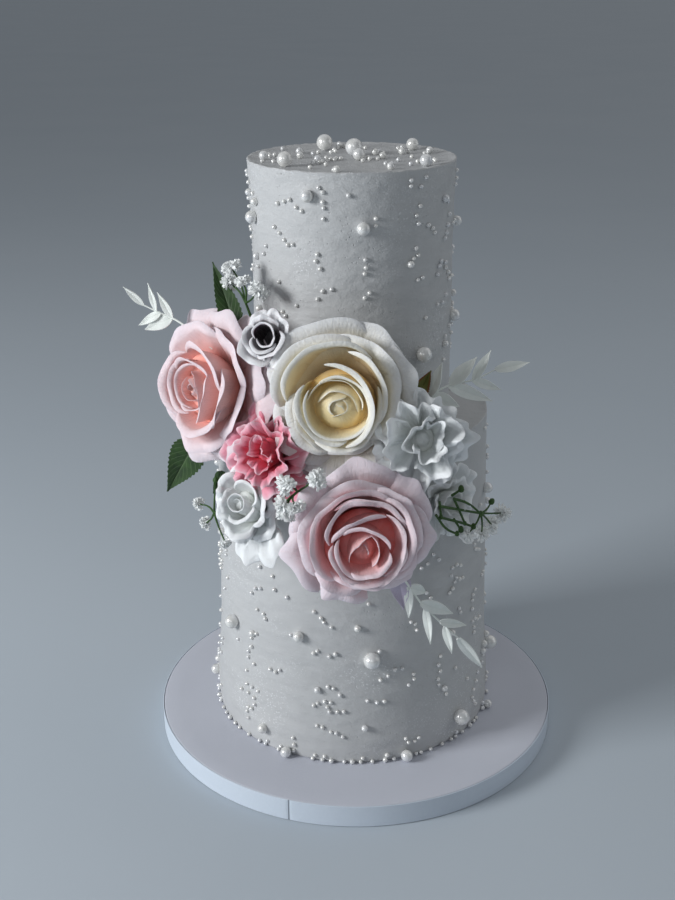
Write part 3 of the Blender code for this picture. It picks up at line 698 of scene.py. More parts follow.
def buildCalyx(bloom, place):
    # Five pointed sepals under the bloom and its wrapped stem, which ends inside the cake.
    grown = bloom["calyx"]
    sepals = []
    for turn in range(5):
        sepal = grid(4, 8)
        for point in sepal.data.vertices:
            side, along = point.co.x, (point.co.y + 1) / 2
            width = 0.5 * grown * math.sin(math.pi * min(1, 0.22 + along * 0.78)) ** 0.8
            reach = 2.2 + along * 1.1 * grown
            angle = math.radians(72 * turn + 20)
            across = side * width
            height = bloom["stemTop"] - 0.75 * (1 - along) * grown + 0.12 * grown * math.sin(along * 5)
            point.co = (reach * math.cos(angle) - across * math.sin(angle),
                        reach * math.sin(angle) + across * math.cos(angle), height)
        sepals.append(sepal)
    whole = joined(sepals)
    thicken(whole, 0.5, -1)
    applyAll(whole)
    steps = ((0.0, 0.4), (0.9, 0.1), (0.7, 0.0), (0.44, -0.2), (0.3, -0.6), (0.26, -2.0), (0.24, -3.5),
             (0.24, -5.0), (0.24, -6.4), (0.22, -7.2), (0.0, -7.3))

    def onStem(turn, radius, height):
        angle = turn * math.pi
        wide = max(radius * grown, 1.6 if radius > 0 and height < 0 else 0)
        level = bloom["stemTop"] + height * grown - grown
        return Vector((wide * math.cos(angle), wide * math.sin(angle), level))

    whole = joined([whole, wrapped(steps, 14, onStem, 0.01)])
    whole.data.transform(place)
    finishPiece(whole, bloom["node"] + "_calyx", greenCoat, "green_leaf", [bloom["node"]], 50)


def silkLook(values):
    # Colours run from deep inside a petal to its rim, and from the outer petals to the heart.
    def build(w):
        cross = w.mapped("X")
        along = w.mapped("Y")
        heart = w.make("Attribute", {"attribute_name": "heart"}, output="Fac")
        outer = along.ramp(*values["outer"])
        inner = along.ramp(*values["inner"])
        base = (heart - 1).tint(heart.tint(outer, inner), along.ramp(*values.get("deep", values["inner"])))
        mottle = w.cloud(85, detail=3)
        base = (mottle.ranged(0.35, 0.75) * values["mottle"]).tint(base, values["blush"])
        fibres = w.make("CombineXYZ", sockets={0: cross * 34 + heart * 9, 1: along * 2.6, 2: heart * 5})
        veins = w.cloud(1.6, fibres, 4, 0.6)
        weave = w.cloud(1900, detail=2, rough=0.6)
        relief = veins * 0.7 + weave * 0.2 + w.cloud(130, detail=2) * 0.5 + w.cloud(560, detail=3) * 0.35
        base = (veins.ranged(0.45, 0.75) * 0.16).tint(base, values["vein"])
        tone = w.make("Attribute", {"attribute_name": "tone"}, output="Fac")
        base = (tone * 0.22).tint(base, values["shade"])
        return {"Base Color": base, "Roughness": 0.46 + weave * 0.16, "Normal": relief.bump(0.00055, 0.9)}
    return build


def silkCoat(name, values, light=0.2, tinge=(1.0, 0.8, 0.75)):
    # Thin petals let light through, so the shaded side of one glows a little.
    constants = {"Specular IOR Level": 0.3, "Sheen Weight": 0.08, "Sheen Roughness": 0.45,
                 "Subsurface Weight": light, "Subsurface Radius": tinge, "Subsurface Scale": 0.0008}
    return coatOf(name, constants, silkLook(values))


creamCoat = silkCoat("creamSilk", {
    "outer": ((0.0, (0.76, 0.50, 0.17)), (0.30, (0.86, 0.70, 0.40)), (0.50, (0.89, 0.83, 0.68)),
              (0.66, (0.90, 0.89, 0.86)), (1.0, (0.90, 0.91, 0.93))),
    "inner": ((0.0, (0.58, 0.26, 0.03)), (0.20, (0.78, 0.48, 0.12)), (0.42, (0.89, 0.68, 0.30)),
              (0.60, (0.92, 0.82, 0.53)), (0.74, (0.92, 0.89, 0.76)), (1.0, (0.92, 0.92, 0.88))),
    "deep": ((0.0, (0.55, 0.22, 0.02)), (0.35, (0.84, 0.55, 0.17)), (0.62, (0.91, 0.72, 0.34)),
             (0.84, (0.93, 0.84, 0.56)), (1.0, (0.93, 0.90, 0.76))),
    "mottle": 0.2, "blush": (0.89, 0.88, 0.86), "vein": (0.84, 0.77, 0.60), "shade": (0.84, 0.82, 0.78)},
    0.2, (1.0, 0.95, 0.85))
pinkCoat = silkCoat("pinkSilk", {
    "outer": ((0.0, (0.78, 0.22, 0.16)), (0.28, (0.88, 0.44, 0.39)), (0.46, (0.89, 0.62, 0.62)),
              (0.62, (0.88, 0.75, 0.79)), (1.0, (0.88, 0.80, 0.87))),
    "inner": ((0.0, (0.62, 0.05, 0.035)), (0.20, (0.84, 0.17, 0.14)), (0.42, (0.91, 0.35, 0.32)),
              (0.58, (0.90, 0.50, 0.50)), (0.70, (0.88, 0.62, 0.66)), (1.0, (0.87, 0.71, 0.76))),
    "mottle": 0.2, "blush": (0.87, 0.79, 0.86), "vein": (0.80, 0.54, 0.57), "shade": (0.80, 0.66, 0.71)})
blushCoat = silkCoat("blushSilk", {
    "outer": ((0.0, (0.88, 0.34, 0.26)), (0.30, (0.92, 0.50, 0.44)), (0.50, (0.90, 0.65, 0.64)),
              (0.66, (0.87, 0.74, 0.77)), (1.0, (0.86, 0.77, 0.83))),
    "inner": ((0.0, (0.92, 0.26, 0.15)), (0.20, (0.96, 0.37, 0.27)), (0.42, (0.97, 0.49, 0.40)),
              (0.58, (0.94, 0.58, 0.54)), (0.74, (0.90, 0.67, 0.68)), (1.0, (0.88, 0.72, 0.76))),
    "mottle": 0.2, "blush": (0.87, 0.78, 0.84), "vein": (0.86, 0.60, 0.62), "shade": (0.85, 0.67, 0.71)})
hotCoat = silkCoat("hotPinkSilk", {
    "outer": ((0.0, (0.60, 0.02, 0.06)), (0.35, (0.82, 0.10, 0.18)), (0.62, (0.88, 0.21, 0.30)),
              (0.86, (0.90, 0.40, 0.49)), (1.0, (0.93, 0.70, 0.76))),
    "inner": ((0.0, (0.50, 0.012, 0.035)), (0.35, (0.76, 0.06, 0.11)), (0.62, (0.86, 0.16, 0.23)),
              (0.86, (0.89, 0.34, 0.42)), (1.0, (0.92, 0.64, 0.70))),
    "mottle": 0.35, "blush": (0.90, 0.48, 0.57), "vein": (0.72, 0.12, 0.20), "shade": (0.82, 0.34, 0.43)},
    0.15)
foamCoat = silkCoat("whiteFoam", {
    "outer": ((0.0, (0.68, 0.72, 0.68)), (0.4, (0.87, 0.90, 0.90)), (1.0, (0.93, 0.95, 0.96))),
    "inner": ((0.0, (0.68, 0.71, 0.62)), (0.4, (0.86, 0.88, 0.85)), (1.0, (0.93, 0.95, 0.96))),
    "mottle": 0.15, "blush": (0.89, 0.92, 0.94), "vein": (0.86, 0.89, 0.91), "shade": (0.86, 0.89, 0.92)},
    0.25, (1.0, 1.0, 1.0))
# Low on its petals and inside, the bud is painted dark burgundy to near black: painted shade of its deep hole
# and of the gaps between its petals.
budCoat = silkCoat("budSilk", {
    "outer": ((0.0, (0.22, 0.03, 0.07)), (0.34, (0.70, 0.64, 0.68)), (0.50, (0.90, 0.89, 0.91)),
              (0.96, (0.94, 0.94, 0.95)), (1.0, (0.84, 0.78, 0.84))),
    "inner": ((0.0, (0.006, 0.001, 0.003)), (0.55, (0.012, 0.002, 0.006)), (0.66, (0.10, 0.02, 0.05)),
              (0.74, (0.82, 0.77, 0.81)), (1.0, (0.93, 0.92, 0.94))),
    "mottle": 0.0, "blush": (0.84, 0.83, 0.85), "vein": (0.85, 0.80, 0.84), "shade": (0.90, 0.89, 0.91)}, 0.1)

roseDraw = random.Random(23)
silkRose = {"thick": 0.22, "calyx": 8.0, "stemTop": -11}
foamFlower = {"thick": 0.4, "stemTop": -8, "coat": foamCoat, "slot": "white_foam"}
# In millimetres: the bloom's centre, how far its heart lies off the middle (bud), the petals' thickness, the
# calyx's size, the stem's top, and the core's crown height and radius, shoulder radius and foot. Facing is
# the angle from the front and the angle upwards, and pace is how quickly the rims ripple.
blooms = [
    {"node": "rose_cream", "centre": (-3.2, -84, 226), "facing": (-4, 12), "bud": (-2.4, -5.6), **silkRose,
     "core": (9.8, 11.2, 17.5, -13), "coreShade": 0.64, "coreHeart": 1.7, "coat": creamCoat,
     "slot": "cream_silk", "rings": [
        ringOf(((118, 50, 40.5, 40.5, 38.5, 2), (66, 42, 36.5, 39.5, 40, 2), (20, 40, 34.5, 36.8, 37, 4),
            (-12, 36, 29, 31.5, 35, 1), (-50, 42, 33, 36, 32, 4), (-98, 36, 38, 37, 37, 5),
            (-142, 46, 32, 34, 32, 3), (178, 44, 27, 27.5, 31.5, 2)), -1.5, 6.0, 40, (58, 66), (5, -15),
            0.0, 6, 1.8, lift=3.0, crease=0.9),
        ringOf(((128, 56, 32.5, 35, 33.5, 0.5), (50, 50, 28.5, 33, 33.5, 1), (-4, 50, 25, 28.5, 31.5, 1),
            (-76, 50, 24, 24.5, 26, 0), (-146, 52, 25, 27, 25, 0.5)), 4.0, 5.0, 56, (64, 46), (6, -14.5),
            0.3, 5, 1.5, lift=2.0, crease=0.9),
        ringOf(((118, 62, 28, 30.5, 26, 0.5), (30, 52, 20.5, 23.5, 28, 0), (-22, 50, 20.5, 19.5, 21.0, 0.5),
            (-80, 52, 20.5, 20.5, 20.5, 0), (-152, 50, 20, 21, 23, 0)), 8.5, 3.4, 70, (74, 8), (8, -14),
            0.7, 5, 1.2, crease=0.6),
        ringOf(((15, 94, 20.6, 16, 22.6, 0), (216, 70, 20.5, 18.2, 17.0, 0)), 12.4, 4.0, 92, (60, 0),
            (7, -13), 0.9, 0.4, crease=0.3),
        ringOf(((248, 98, 16.4, 15.4, 16.6, 0), (50, 80, 15.6, 14.4, 15.2, 0)), 11.8, 2.2, 84, (50, -4),
            (5, -12), 1.0, 1.4, 0.6, crease=0.3),
        ringOf(((82, 90, 11.4, 13.4, 16.0, 0),), 9.6, 2.4, 46, (40, -16), (4, -9), 1.5, 2.4, 0.5, (16, 16),
            0.6, crease=0.25),
        ringOf(((76, 92, 10.4, 9.0, 10.6, 0),), 9.2, 1.9, -8, (34, -30), (4, -9), 1.6, 1.8, 0.4, (16, 16),
            0.3, crease=0.15),
        ringOf(((150, 96, 6.6, 4.6, 5.4, 0), (330, 96, 6.4, 4.4, 5.4, 0), (50, 84, 3.6, 2.0, 2.8, 0)), 10.6,
            0.9, -30, (26, -36), (3, -9), 1.5, 1.0, 0.2, (12, 16), 0.3, 0.24, 0.1)]},
    {"node": "rose_pink_low", "centre": (4.0, -110, 164.4), "facing": (2, 16), "bud": (1.0, -6.4),
     **silkRose, "core": (5.5, 6.0, 18.5, -13), "coreShade": 0.46, "coat": pinkCoat, "slot": "pink_silk",
     "seed": 40, "rings": [
        ringOf(((95, 40, 39, 38.5, 38, 5), (48, 34, 36.5, 38.5, 39.5, 4), (8, 36, 29, 31, 33, 4),
            (-42, 42, 25.5, 25, 29, 4), (-122, 38, 26, 28, 30.5, 5), (-174, 42, 35, 35.5, 36.5, 6),
            (140, 38, 36, 36, 38, 5)), -1.5, 6.0, 52, (58, 66), (5, -15), 0.1, 7, 2.6, lift=3.0,
            crease=1.2),
        ringOf(((98, 50, 30, 32, 30, 1), (37, 46, 28, 31, 31.5, 2), (-10, 46, 22, 26, 29, 2),
            (-72, 48, 21, 20, 24, 1), (-135, 50, 26, 26, 22, 1), (165, 50, 30, 30.5, 29, 1)), 4.0, 5.0, 70,
            (64, 42), (6, -14.5), 0.3, 5, 2.0, lift=2.2, crease=0.9),
        ringOf(((107, 55, 26.5, 26.5, 24.6, 0.6), (18, 55, 20.5, 24.5, 27, 0.6),
            (-90, 55, 19.5, 17, 19.6, 0.6), (184, 50, 25.5, 24, 20, 0.6)), 8.5, 3.8, 84, (70, 8), (8, -14),
            0.6, 4, 1.4, crease=0.6),
        ringOf(((70, 56, 24.6, 22.6, 23.6, 0), (-30, 50, 19.0, 18.4, 20, 0)), 9.6, 3.2, 84, (64, 6),
            (8, -13), 0.7, 3, 1.0, crease=0.5),
        ringOf(((-2, 58, 15.6, 19.2, 21.0, 0), (120, 52, 22.4, 22.0, 17.0, 0), (-82, 50, 16.0, 17, 18.6, 0),
            (222, 54, 15.6, 15.2, 16.4, 0)), 11.0, 3.2, 84, (60, 4), (7, -13), 0.8, 3, 1.0, crease=0.4),
        ringOf(((110, 56, 20.4, 13.4, 16.4, 0),), 12.4, 4.0, 84, (54, 0), (7, -13), 0.9, 2, 0.7,
            crease=0.35),
        ringOf(((72, 70, 13.6, 10.4, 12.4, 0), (214, 60, 13.2, 12.6, 13.4, 0),
            (-62, 58, 12.8, 12.6, 13.6, 0)), 12.6, 2.9, 88, (48, 0), (5, -12), 0.9, 2, 0.6, crease=0.3),
        ringOf(((138, 84, 8.8, 3.2, 9.8, 0), (0, 62, 9.0, 7.6, 8.4, 0)), 12.4, 1.0, 40, (34, -8), (5, -9),
            0.9, 2.0, 0.4, (16, 16), crease=0.25),
        ringOf(((20, 70, 3.4, 2.2, 2.6, 0),), 10.4, 1.2, 40, (26, -6), (3, -9), 0.9, 1.4, 0.3,
            crease=0.15)]},
    {"node": "rose_pink_left", "centre": (-71.6, -54.5, 217.6), "facing": (-45, 8), "bud": (-2.0, 1.0),
     **silkRose, "core": (8.0, 6.6, 18.0, -13), "coreShade": 0.5, "coat": blushCoat, "slot": "pink_silk",
     "seed": 80, "rings": [
        ringOf(((-2, 44, 38, 40, 40, 3), (48, 38, 39, 40, 39, 3), (-40, 36, 37, 38, 38, 2)), -6.0, 9.0, 46,
            (60, 78), (5, -15), 0.45, 6, 2.6, lift=2.5, crease=1.3),
        ringOf(((16, 44, 34.5, 35.5, 36, 3), (72, 40, 35.5, 38, 38.5, 4), (130, 42, 38, 38.5, 37.5, 4),
            (190, 42, 36, 37, 37, 4.5), (245, 40, 39, 41, 40.5, 5), (300, 42, 36, 36.5, 35, 3)), -2.0, 6.6,
            58, (56, 66), (5, -15), 0.1, 7, 2.4, lift=3.0, crease=1.0),
        ringOf(((50, 46, 29, 31, 33, 2), (122, 46, 32, 33, 32.5, 3), (194, 48, 31.5, 32.5, 32, 3),
            (266, 46, 31, 32, 32, 2), (335, 48, 29, 30, 30, 1)), 4.0, 5.6, 66, (62, 42), (6, -14.5), 0.3, 6,
            2.2, lift=2.0, crease=0.9),
        ringOf(((65, 60, 19.5, 22.0, 21.2, 1), (182, 54, 21, 23.6, 23.6, 1), (285, 58, 20, 22, 21.5, 1),
            (-12, 52, 20, 22.5, 23, 0)), 9.4, 4.8, 76, (66, 8), (8, -14), 0.7, 4, 1.4, crease=0.6),
        ringOf(((-15, 60, 18.6, 12.6, 15.4, 0), (185, 70, 16.6, 16.6, 15, 0),
            (95, 62, 14.2, 15.2, 16.4, 0)), 11.6, 3.0, 80, (56, 2), (7, -13), 0.9, 3, 0.9, crease=0.4),
        ringOf(((178, 88, 12.6, 12.2, 10.8, 0), (20, 80, 11.4, 8.4, 9.6, 0),
            (285, 70, 12.2, 11.0, 10.8, 0)), 11.4, 2.0, 66, (46, -8), (5, -12), 0.9, 2.6, 0.6, crease=0.3),
        ringOf(((50, 76, 8.0, 5.0, 6.4, 0), (232, 86, 8.8, 7.0, 6.2, 0)), 10.8, 1.5, 10, (34, -18),
            (3.4, -9), 0.95, 2.4, 0.5, crease=0.2),
        ringOf(((130, 84, 4.6, 3.0, 2.6, 0), (320, 84, 4.4, 3.0, 2.4, 0)), 10.2, 1.0, -20, (28, -26),
            (3, -9), 1.0, 1.6, 0.3, crease=0.15)]},
    {"node": "flower_white_left", "centre": (-50, -80, 161), "facing": (-24, 18), "bud": (-5.5, 5),
     **foamFlower, "calyx": 4.6, "core": (4.2, 4.0, 6.0, -8), "seed": 120, "pace": 0.8, "rings": [
        ringOf(((-50, 22, 29, 33, 27, 2), (-78, 24, 24, 29.5, 26, 2.5), (-104, 26, 17, 19, 20, 1)), -1.0,
            6.0, 40, (56, 64), (3, -8), 0.0, 4, 1.6, (16, 16), 1.6, crease=0.6),
        ringOf(((-30, 40, 22, 21, 18, 1), (20, 44, 17, 17, 17, 1), (140, 46, 15, 16.5, 15, 1),
            (200, 44, 15, 15, 14, 0), (-110, 44, 14, 17, 19, 1)), 1.0, 4.4, 70, (60, 40), (3, -8), 0.0, 3,
            2.2, (16, 16), crease=1.0),
        ringOf(((2, 50, 15, 13.9, 14, 1), (82, 46, 14, 18.5, 13, 3), (142, 40, 13, 13.2, 11.5, 1),
            (208, 46, 12, 10.8, 11.5, 0), (-92, 44, 11.5, 15.5, 15, 1)), 5.0, 3.8, 76, (58, 20), (3, -7),
            0.4, 3, 1.8, (16, 16), crease=0.8),
        ringOf(((58, 62, 8.0, 11.6, 8.4, 0), (176, 58, 8.2, 7.4, 8.4, 0), (-62, 60, 8.6, 9.4, 8.0, 0)), 7.4,
            2.6, 66, (50, 8), (3, -7), 0.7, 2, 1.0, crease=0.5),
        ringOf(((90, 125, 4.8, 5.0, 4.4, 0), (270, 118, 5.0, 4.4, 5.0, 0)), 8.0, 1.1, 60, (40, 0), (2, -5),
            0.9, 1, 0.3, crease=0.15),
        ringOf(((60, 120, 2.8, 2.4, 3.0, 0),), 6.6, 0.6, 40, (30, 0), (1, -3), 1.0, 1, 0.2, (12, 10),
            crease=0.1)]},
    {"node": "flower_white_right", "centre": (35.4, -89, 204.8), "facing": (8, 18), "bud": (-2, 0),
     **foamFlower, "calyx": 4.6, "core": (3.4, 3.6, 6.0, -8), "seed": 160, "pace": 1.15, "rings": [
        ringOf(((158, 44, 22, 24, 22, 2), (206, 40, 22, 24, 24, 2), (60, 40, 21, 22, 22, 1),
            (-4, 40, 22, 24, 22, 1), (-62, 40, 21, 22, 22, 2), (-108, 40, 20, 22, 22, 2)), 0.0, 4.6, 46,
            (56, 40), (3, -8), 0.0, 3.5, 6.5, (24, 16), 2.4, crease=1.4),
        ringOf(((186, 54, 16, 18, 17, 2), (112, 54, 14, 15, 16, 2), (28, 54, 15, 16, 15, 1),
            (-56, 54, 15, 16, 16, 1)), 7.5, 4.0, 52, (48, 14), (3, -7), 0.3, 3, 6.5, (24, 16), 2.4,
            crease=1.4),
        ringOf(((150, 84, 9.5, 8, 9, 0), (20, 74, 8, 8, 9, 0), (-90, 74, 8.4, 9, 9, 0)), 11.0, 3.2, 56,
            (40, 2), (2, -5), 0.6, 2, 5.0, (20, 16), 1.6, crease=1.0)]},
    {"node": "flower_white_low", "centre": (48, -67, 163), "facing": (34, 6), "bud": (0, 0), **foamFlower,
     "calyx": 4.2, "core": (2.4, 3.2, 4.6, -7), "seed": 200, "pace": 1.1, "rings": [
        ringOf(evenRing(6, 60, 19.5, 40, 5, roseDraw, 1.0), 1.0, 3.8, 46, (62, 56), (3, -7), 0.0, 2.5, 4.4,
            (20, 14), crease=1.4),
        ringOf(evenRing(4, 20, 12.5, 54, 5, roseDraw, 0.8), 4.5, 3.0, 56, (58, 30), (3, -6), 0.5, 2, 4.0,
            (18, 14), crease=1.2),
        ringOf(evenRing(3, 80, 6.2, 70, 5, roseDraw), 6.5, 1.6, 60, (40, 4), (2, -5), 0.9, 1, 1.4)]},
    {"node": "carnation", "centre": (-40.5, -80, 192.5), "facing": (-26, 12), "bud": (0, 2), "thick": 0.22,
     "calyx": 5.0, "stemTop": -9, "core": (5.0, 5.0, 7.0, -9), "coat": hotCoat, "slot": "hot_pink_silk",
     "seed": 240, "pace": 0.95, "rings": [
        ringOf(((96, 34, 30, 31, 29, 2), (60, 30, 27, 28, 28, 1), (-62, 34, 25, 27, 25, 2),
            (190, 36, 25, 27, 26, 2)), -2.0, 4.0, 40, (58, 62), (4, -9), 0.0, 2, 2.4, (16, 14), 1.0,
            crease=1.0),
        ringOf(evenRing(5, 5, 22.5, 50, 9, roseDraw, 1.0), 0.0, 6.4, 50, (58, 56), (4, -9), 0.0, 2, 5.6,
            (24, 14), 2.0, crease=2.0),
        ringOf(evenRing(5, 28, 17.5, 48, 12, roseDraw, 0.8), 5.0, 6.0, 58, (56, 30), (4, -8), 0.3, 2, 6.0,
            (24, 14), 2.4, crease=2.0),
        ringOf(evenRing(4, 10, 12.0, 56, 14, roseDraw, 0.6), 9.0, 5.2, 60, (50, 16), (3, -7), 0.6, 1.6, 6.0,
            (24, 14), 2.6, crease=1.9),
        ringOf(evenRing(3, 40, 6.6, 74, 16, roseDraw, 0.5), 10.5, 4.2, 50, (40, 6), (2, -6), 0.9, 1.4, 5.0,
            (24, 14), 2.0, crease=1.7)]},
    # The rosebud's core takes only the near-black foot of its colours: painted shade in the bud's hole.
    {"node": "rosebud_white", "centre": (-40.6, -70, 247.8), "facing": (-20, 20), "bud": (0.6, 2.6),
     "thick": 0.26, "calyx": 3.6, "stemTop": -7, "core": (-2.0, 3.0, 5.0, -7), "coreShade": 0.3,
     "coat": budCoat, "slot": "bud_silk", "seed": 300, "rings": [
        ringOf(((50, 56, 9.4, 10.6, 10.8, 1.2), (138, 52, 10, 11, 10.6, 1), (226, 54, 12, 14, 12.6, 1.6),
            (-50, 56, 12, 13.6, 11.4, 1.4)), 1.6, 3.8, 60, (50, 20), (2.4, -7), 0.0, 3, 2.2, crease=0.8),
        ringOf(((96, 62, 7.6, 8.0, 8.4, 0.5), (200, 60, 8.4, 10.4, 11.6, 1),
            (-44, 64, 11.4, 10.0, 8.0, 0.5)), 5.4, 3.0, 74, (46, 8), (2.4, -6.5), 0.4, 1.6, 1.6,
            crease=0.6),
        ringOf(((-100, 70, 7.4, 8.6, 7.0, 0.4),), 6.6, 2.4, 80, (40, 6), (2.4, -6.5), 0.5, 1.6, 1.2,
            crease=0.4),
        ringOf(((100, 108, 5.4, 5.8, 5.2, 0), (-70, 84, 5.2, 5.6, 5.6, 0)), 7.4, 1.5, 84, (34, 2),
            (2.6, -6), 1.0, 1, 0.9, crease=0.3)]},
]
for bloom in blooms:
    buildBloom(bloom)
    print("stage: made", bloom["node"])

# Leaves, sprays and gypsophila


def aim(base, tip, look):
    # A frame at the base whose +Y points at the tip and whose +Z leans to the way it faces.
    along = (Vector(tip) - Vector(base)).normalized()
    across = along.cross(Vector(look)).normalized()
    columns = Matrix((across, along, across.cross(along))).transposed().to_4x4()
    return Matrix.Translation(Vector(base) * mm) @ columns @ Matrix.Scale(mm, 4)


def leafSheet(base, tip, width, look, shape):
    # A leaf from its base to its tip, with teeth along its edges and a folded midrib.
    length = (Vector(tip) - Vector(base)).length
    sheet = grid(shape["across"], shape["along"])
    for point in sheet.data.vertices:
        side, along = point.co.x, (point.co.y + 1) / 2
        plump = math.sin(math.pi * min(1.0, along * 0.93 + 0.07) ** shape["blunt"])
        half = width / 2 * max(0.05, plump)
        tooth = (along * shape["teeth"]) % 1
        half *= 1 + shape["bite"] * (tooth - 0.5) * abs(side) ** 4
        rib = shape["rib"] * math.exp(-(side * half / 0.5) ** 2)
        height = shape["fold"] * abs(side) * half + shape["bend"] * along * along * length - rib + \
            shape["wave"] * math.sin(7 * along + 2 * side) * (1 - 0.4 * along)
        point.co = (side * half, along * length, height)
    thicken(sheet, shape["thick"])
    applyAll(sheet)
    sheet.data.transform(aim(base, tip, look))
    return sheet


def leafLook(values):
    def build(w):
        cross = w.mapped("X")
        along = w.mapped("Y")
        side = w.maths("ABSOLUTE", cross - 0.5) * 2
        midrib = 1 - side.ranged(0.0, 0.10)
        lines = w.maths("PINGPONG", along * 9 - side * 2.6, 0.5) * 2  # nine pairs that slant to the tip
        veins = (1 - lines.ranged(0.0, 0.22)) * values["veins"]
        net = 1 - w.cells(480).ranged(0.0, 0.25)
        printed = w.maths("MAXIMUM", midrib * 0.9, veins)
        mottle = w.cloud(220, detail=3)
        base = mottle.ranged(0.3, 0.7).tint(values["dark"], values["light"])
        base = (side.ranged(0.55, 1.0) * values["edgeAmount"]).tint(base, values["edge"])
        base = (printed * values["veinAmount"]).tint(base, values["vein"])
        relief = printed * -0.6 + mottle * 0.35 + net * 0.12
        return {"Base Color": base, "Roughness": values["rough"] + mottle * 0.12,
                "Normal": relief.bump(0.0003, 0.6)}
    return build


leafCoats = {
    "green_leaf": coatOf("leafGreen", {"Specular IOR Level": 0.4, "Sheen Weight": 0.05}, leafLook({
        "dark": (0.010, 0.032, 0.006), "light": (0.028, 0.075, 0.013), "edge": (0.040, 0.095, 0.018),
        "edgeAmount": 0.4, "vein": (0.13, 0.20, 0.09), "veinAmount": 0.55, "veins": 0.8, "rough": 0.5})),
    "olive_leaf": coatOf("leafOlive", {"Specular IOR Level": 0.35}, leafLook({
        "dark": (0.13, 0.15, 0.03), "light": (0.20, 0.19, 0.05), "edge": (0.26, 0.085, 0.03),
        "edgeAmount": 1.0, "vein": (0.25, 0.22, 0.08), "veinAmount": 0.4, "veins": 0.6, "rough": 0.55})),
    "lilac_silk": coatOf("lilacSilk", {"Specular IOR Level": 0.3, "Sheen Weight": 0.1}, leafLook({
        "dark": (0.55, 0.49, 0.62), "light": (0.62, 0.56, 0.68), "edge": (0.66, 0.60, 0.72),
        "edgeAmount": 0.5, "vein": (0.50, 0.44, 0.58), "veinAmount": 0.25, "veins": 0.5, "rough": 0.55})),
    "sage_leaf": coatOf("sageLeaf", {"Specular IOR Level": 0.3}, leafLook({
        "dark": (0.83, 0.87, 0.82), "light": (0.89, 0.92, 0.88), "edge": (0.90, 0.92, 0.89),
        "edgeAmount": 0.4, "vein": (0.80, 0.84, 0.78), "veinAmount": 0.3, "veins": 0.3, "rough": 0.6})),
}
leafShapes = {
    "broad": {"across": 16, "along": 40, "blunt": 0.55, "teeth": 13, "bite": 0.16, "rib": 0.25, "fold": 0.25,
              "bend": 0.05, "wave": 0.6, "thick": 0.4},
    "petal": {"across": 16, "along": 24, "blunt": 0.55, "teeth": 3, "bite": 0.03, "rib": 0.1, "fold": 0.22,
              "bend": 0.06, "wave": 0.6, "thick": 0.35},
    "sage": {"across": 8, "along": 18, "blunt": 0.8, "teeth": 1, "bite": 0.0, "rib": 0.12, "fold": 0.2,
             "bend": 0.03, "wave": 0.2, "thick": 0.55},
}
leaves = (
    ("leaf_top", (-58.5, -42, 247), (-69.8, -30, 277), 11.5, "green_leaf", "broad"),
    ("leaf_left", (-82, -40, 184), (-99, -29, 152.5), 18.5, "green_leaf", "broad"),
    ("leaf_left_small", (-66.4, -60, 176), (-71.6, -55, 162), 5.0, "green_leaf", "broad"),
    ("leaf_middle", (-40.5, -70, 216), (-41, -62, 238), 6.5, "green_leaf", "broad"),
    ("leaf_olive", (32, -56, 214), (39.5, -52, 227), 8.5, "olive_leaf", "broad"),
    ("petal_lilac", (23, -98, 136), (25.6, -96, 117), 11.0, "lilac_silk", "petal"),
)
for node, base, tip, width, slotName, shape in leaves:
    sheet = leafSheet(base, tip, width, (0, -1, 0.3), leafShapes[shape])
    finishPiece(sheet, node + "_dressed", leafCoats[slotName], slotName, [node], 50)
print("stage: leaves")

sprays = (  # stem points, then each leaf's base, tip and width
    ("spray_left",
     ((-70, -44, 236), (-84, -38, 246), (-91.5, -34, 249.5), (-97.2, -33, 251.7), (-106.4, -31, 255.6)),
     (((-106, -31, 255.4), (-115.8, -30, 264.7), 3.6), ((-99.4, -33, 252.8), (-102.9, -31, 266.9), 3.4),
      ((-91.3, -34, 249.4), (-98.3, -32, 262.4), 4.4), ((-97.3, -33, 251.8), (-108.8, -31, 244.6), 4.8),
      ((-91.5, -34, 249.4), (-105.4, -33, 242.9), 7.6))),
    ("spray_right",
     ((24, -60, 200), (34, -58, 209), (39.5, -54, 214.2), (48.8, -51, 218.9), (61.2, -46, 220),
      (73.1, -41, 223.9)),
     (((72.8, -41, 223.8), (90.6, -36, 226), 5.6), ((61.4, -46, 220), (70.3, -42, 234.4), 5.2),
      ((49.5, -51, 219), (62.8, -47, 232.3), 7.6), ((39, -54, 214), (45.1, -53, 231.5), 6.4),
      ((61, -46, 220), (75.7, -42, 213.5), 5.0), ((48.6, -51, 218.8), (71.1, -46, 208.8), 6.8),
      ((39.6, -54, 214.4), (54, -54, 208.6), 7.6))),
    ("spray_low",
     ((14, -100, 152), (22, -104, 142), (27.5, -99, 131.6), (34.4, -94, 118.7), (43.7, -86, 104.6),
      (55.6, -76, 88)),
     (((55.4, -76.4, 88.4), (69.9, -62, 63), 6.6), ((28.1, -98.6, 130.2), (28.6, -96.5, 112), 5.0),
      ((28.1, -98.6, 130.2), (36.8, -92.5, 124), 6.2), ((34.4, -94, 118.9), (51, -84.5, 107.9), 7.0),
      ((37, -92, 114.8), (40.3, -89, 92.8), 4.8), ((44.9, -85, 102.8), (58.8, -77, 96.7), 4.8),
      ((47.6, -82.8, 99), (52, -80, 82), 4.8))),
)


